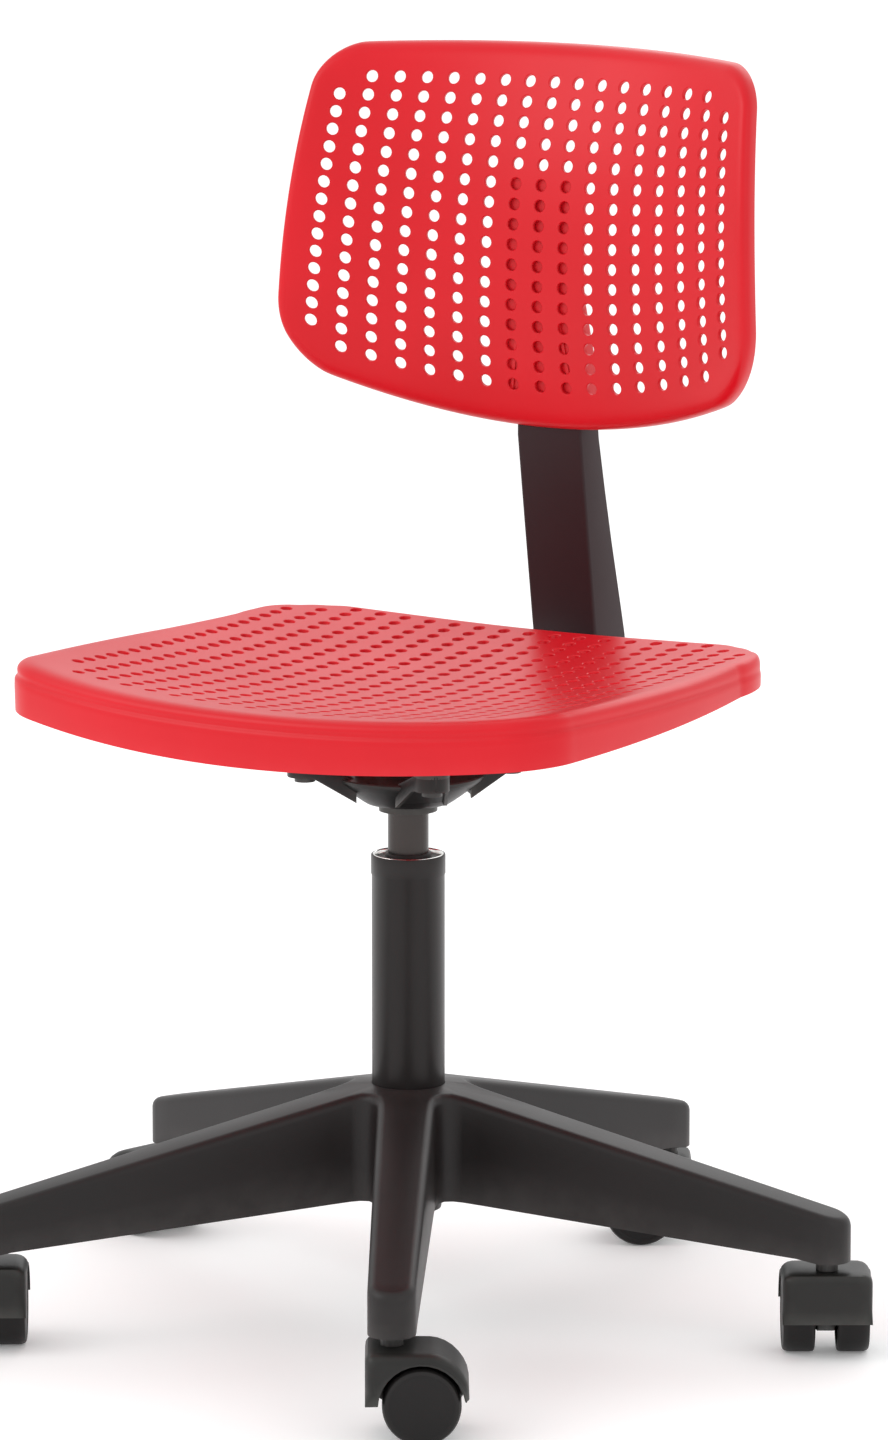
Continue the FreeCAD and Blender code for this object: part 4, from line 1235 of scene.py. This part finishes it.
castor = {
    "places": {"left": (0, 122.2), "back": (1, 212.2), "right": (2, 167.0),
               "front_right": (3, 122.2), "front_left": (4, 32.2)},
    "trail": 19.5, "wheelHeight": 26, "arch": 28.5, "half": 30.5, "web": 6.5, "gap": 7.5,
    "thinnest": 1.2, "hoodMiddle": (16, 30), "hoodFoot": 28, "webArch": 30,
    # how far in from each side, and how far the outline is drawn in there
    "sideRounding": [(0, 8), (0.4, 5.6), (1.4, 3.6), (3, 2), (5, 0.8), (8, 0.1), (11, 0)],
    "outer": [(-17.5, 27), (-17.5, 36), (-17.5, 46), (-17.5, 55), (-17.1, 58), (-15.6, 60.2),
              (-13, 61), (-4, 61), (8, 61), (18, 61), (25, 60.9), (30, 60.1), (35, 58.2),
              (39.6, 55.2), (43.6, 51.2), (46.9, 46.6), (49.2, 41.6), (50.3, 36.4), (50.5, 30)],
    "webFoot": [(47.2, 30), (44, 24.5), (38.5, 20), (30, 16.2), (25, 15), (14, 15), (8, 16.6),
                (-1, 22), (-8.8, 27)],
    "wheel": [(0, 21.4), (12, 21.4), (20.4, 21.4), (21.2, 21.6), (21.8, 22), (22.8, 22),
              (24.3, 21.5), (25.2, 20.3), (25.8, 18.4), (26, 15.6), (26, 12), (26, 3), (25.7, 1.2),
              (24.9, 0.3), (24, 0), (22.8, 0), (22.5, 0.4), (22.5, 17.6), (7.5, 17.6),
              (7.5, 0.4), (7.2, 0), (3.2, 0), (3.2, 17.6), (0, 17.6)],
}


def makeHood():
    spec = castor
    centreX, centreZ = spec["trail"], spec["wheelHeight"]
    arch = []
    for step in range(15):
        angle = math.radians(8.5 + (177.6 - 8.5) * step / 14)
        arch.append((centreX + spec["arch"] * math.cos(angle),
                     centreZ + spec["arch"] * math.sin(angle)))
    middle = spec["hoodMiddle"]

    def outline(y, inset):
        points = []
        for x, z in spec["outer"]:
            dx, dz = x - middle[0], z - middle[1]
            length = math.hypot(dx, dz)
            room = math.hypot(x - centreX, z - centreZ) - spec["arch"] - spec["thinnest"]
            shrink = max(0, min(inset, room)) if z > spec["hoodFoot"] else 0
            points.append(((x - dx / length * shrink) * mm, y * mm,
                           (z - dz / length * shrink) * mm))
        for x, z in arch:
            points.append((x * mm, y * mm, z * mm))
        return points

    sides = [(spec["half"] - depth, inset) for depth, inset in spec["sideRounding"]]
    steps = [(-y, inset) for y, inset in sides] + [(-spec["web"], 0), (spec["web"], 0)]
    steps += list(reversed(sides))
    hood = loftPiece("castorHood", [outline(y, inset) for y, inset in steps])
    smoothUp(hood, 35)
    webArch = []
    for step in range(13):
        angle = math.radians(170 - 155 * step / 12)
        webArch.append((centreX + spec["webArch"] * math.cos(angle),
                        centreZ + spec["webArch"] * math.sin(angle)))
    webPoints = list(spec["webFoot"]) + webArch
    webRings = []
    for y, inset in ((-spec["web"], 1.0), (-spec["web"] + 1, 0), (spec["web"] - 1, 0),
                     (spec["web"], 1.0)):
        ring = []
        for x, z in webPoints:
            dx, dz = x - centreX, z - centreZ
            length = max(1, math.hypot(dx, dz))
            ring.append(((x - dx / length * inset) * mm, y * mm, (z - dz / length * inset) * mm))
        webRings.append(ring)
    web = loftPiece("castorWeb", webRings)
    smoothUp(web, 35)
    return joinPieces(hood, [web])


def makeWheel():
    wheel = turnedPiece("castorWheel", castor["wheel"], 72)
    smoothUp(wheel, 32)
    return wheel


def makeCastors():
    hood = makeHood()
    wheel = makeWheel()
    for name, (leg, trailAngle) in castor["places"].items():
        angle = math.radians(star["turn"] + 72 * leg)
        reach = star["tipReach"] * mm
        spot = Matrix.Translation((reach * math.cos(angle), reach * math.sin(angle), 0))
        stand = spot @ Matrix.Rotation(math.radians(trailAngle), 4, "Z")
        piece = copyPiece(hood, "castorHood_" + name, stand)
        place(piece, "castor_" + name, "black_plastic", finishes["hoodNylon"],
              ["castor_housing_" + name])
        for hand, side in (("a", 1), ("b", -1)):
            face = Matrix.Translation((castor["trail"] * mm, side * castor["gap"] * mm,
                                       castor["wheelHeight"] * mm))
            turn = Matrix.Rotation(math.radians(-90 * side), 4, "X")
            twin = copyPiece(wheel, "castorWheel_%s_%s" % (name, hand), stand @ face @ turn)
            place(twin, "wheel_%s_%s" % (name, hand), "wheel_plastic", finishes["wheelNylon"],
                  ["castor_wheel_%s_%s" % (name, hand)])
    bpy.data.objects.remove(hood)
    bpy.data.objects.remove(wheel)


makeCastors()
print("castors made")


# the turned and bent steel parts keep their own shape and get a finish

keptFinishes = {
    "thrust_bearing": "zincSteel", "castor_stems": "blackScrew", "grip_rings": "zincSteel",
    "piston_rod": "zincSteel", "retaining_clip": "darkSteel", "gas_piston": "zincSteel",
    "cylinder_gland": "zincSteel", "taper_socket": "plateEnamel", "bar_bracket": "plateEnamel",
    "lever_bracket": "plateEnamel", "lever_pin": "zincSteel", "seat_screws": "blackScrew",
    "bar_screws": "blackScrew", "back_screws": "blackScrew", "lever_rod": "plateEnamel",
    "release_button": "zincSteel",
}
for nodeName, finish in keptFinishes.items():
    dress(nodes[nodeName], finishes[finish])
for name in castor["places"]:
    dress(nodes["castor_axle_" + name], finishes["zincSteel"])
print("kept parts dressed", len(keptFinishes) + len(castor["places"]))


# camera, light and floor

stage = {
    "camera": (2.8647, -4.5503, 1.3908), "tilt": 79.767, "turn": 31.933, "lens": 200.78,
    "sensor": 36.0, "floorSize": 30.0, "floorShade": (0.96, 0.96, 0.96, 1),
    "floorGlow": 0.14, "worldStrength": 1.0,
    "key": ((-2.2, -2.4, 2.6), 2.4, 34), "fill": ((2.8, -0.6, 1.6), 2.0, 4),
    "rear": ((-0.6, 2.6, 2.2), 2.0, 12), "aim": (0, 0, 0.45),
}


def addLight(name, spot, width, power):
    data = bpy.data.lights.new(name, "AREA")
    data.shape = "SQUARE"
    data.size = width
    data.energy = power
    lamp = bpy.data.objects.new(name, data)
    bpy.context.scene.collection.objects.link(lamp)
    lamp.location = spot
    aim = Vector(stage["aim"]) - Vector(spot)
    lamp.rotation_euler = aim.to_track_quat("-Z", "Y").to_euler()


def setStage():
    data = bpy.data.cameras.new("camera")
    camera = bpy.data.objects.new("camera", data)
    bpy.context.scene.collection.objects.link(camera)
    camera.location = stage["camera"]
    camera.rotation_euler = (math.radians(stage["tilt"]), 0, math.radians(stage["turn"]))
    data.lens = stage["lens"]
    data.sensor_width = stage["sensor"]
    data.dof.use_dof = False
    bpy.context.scene.camera = camera
    for name in ("key", "fill", "rear"):
        addLight(name, *stage[name])
    world = bpy.data.worlds.new("studio")
    bpy.context.scene.world = world
    world.use_nodes = True
    sky = world.node_tree.nodes["Background"]
    sky.inputs["Color"].default_value = (1, 1, 1, 1)
    sky.inputs["Strength"].default_value = stage["worldStrength"]
    bpy.context.scene.view_settings.view_transform = "Standard"
    pickNothing()
    bpy.ops.mesh.primitive_grid_add(x_subdivisions=8, y_subdivisions=8, size=stage["floorSize"])
    floor = bpy.context.view_layer.objects.active
    floor.name = "floor"
    paper = bpy.data.materials.new("paper")
    paper.use_nodes = True
    shader = paper.node_tree.nodes["Principled BSDF"]
    shader.inputs["Base Color"].default_value = stage["floorShade"]
    shader.inputs["Roughness"].default_value = 0.9
    shader.inputs["Specular IOR Level"].default_value = 0.1
    shader.inputs["Emission Color"].default_value = (1, 1, 1, 1)
    shader.inputs["Emission Strength"].default_value = stage["floorGlow"]
    dress(floor, paper)


setStage()
print("stage set")
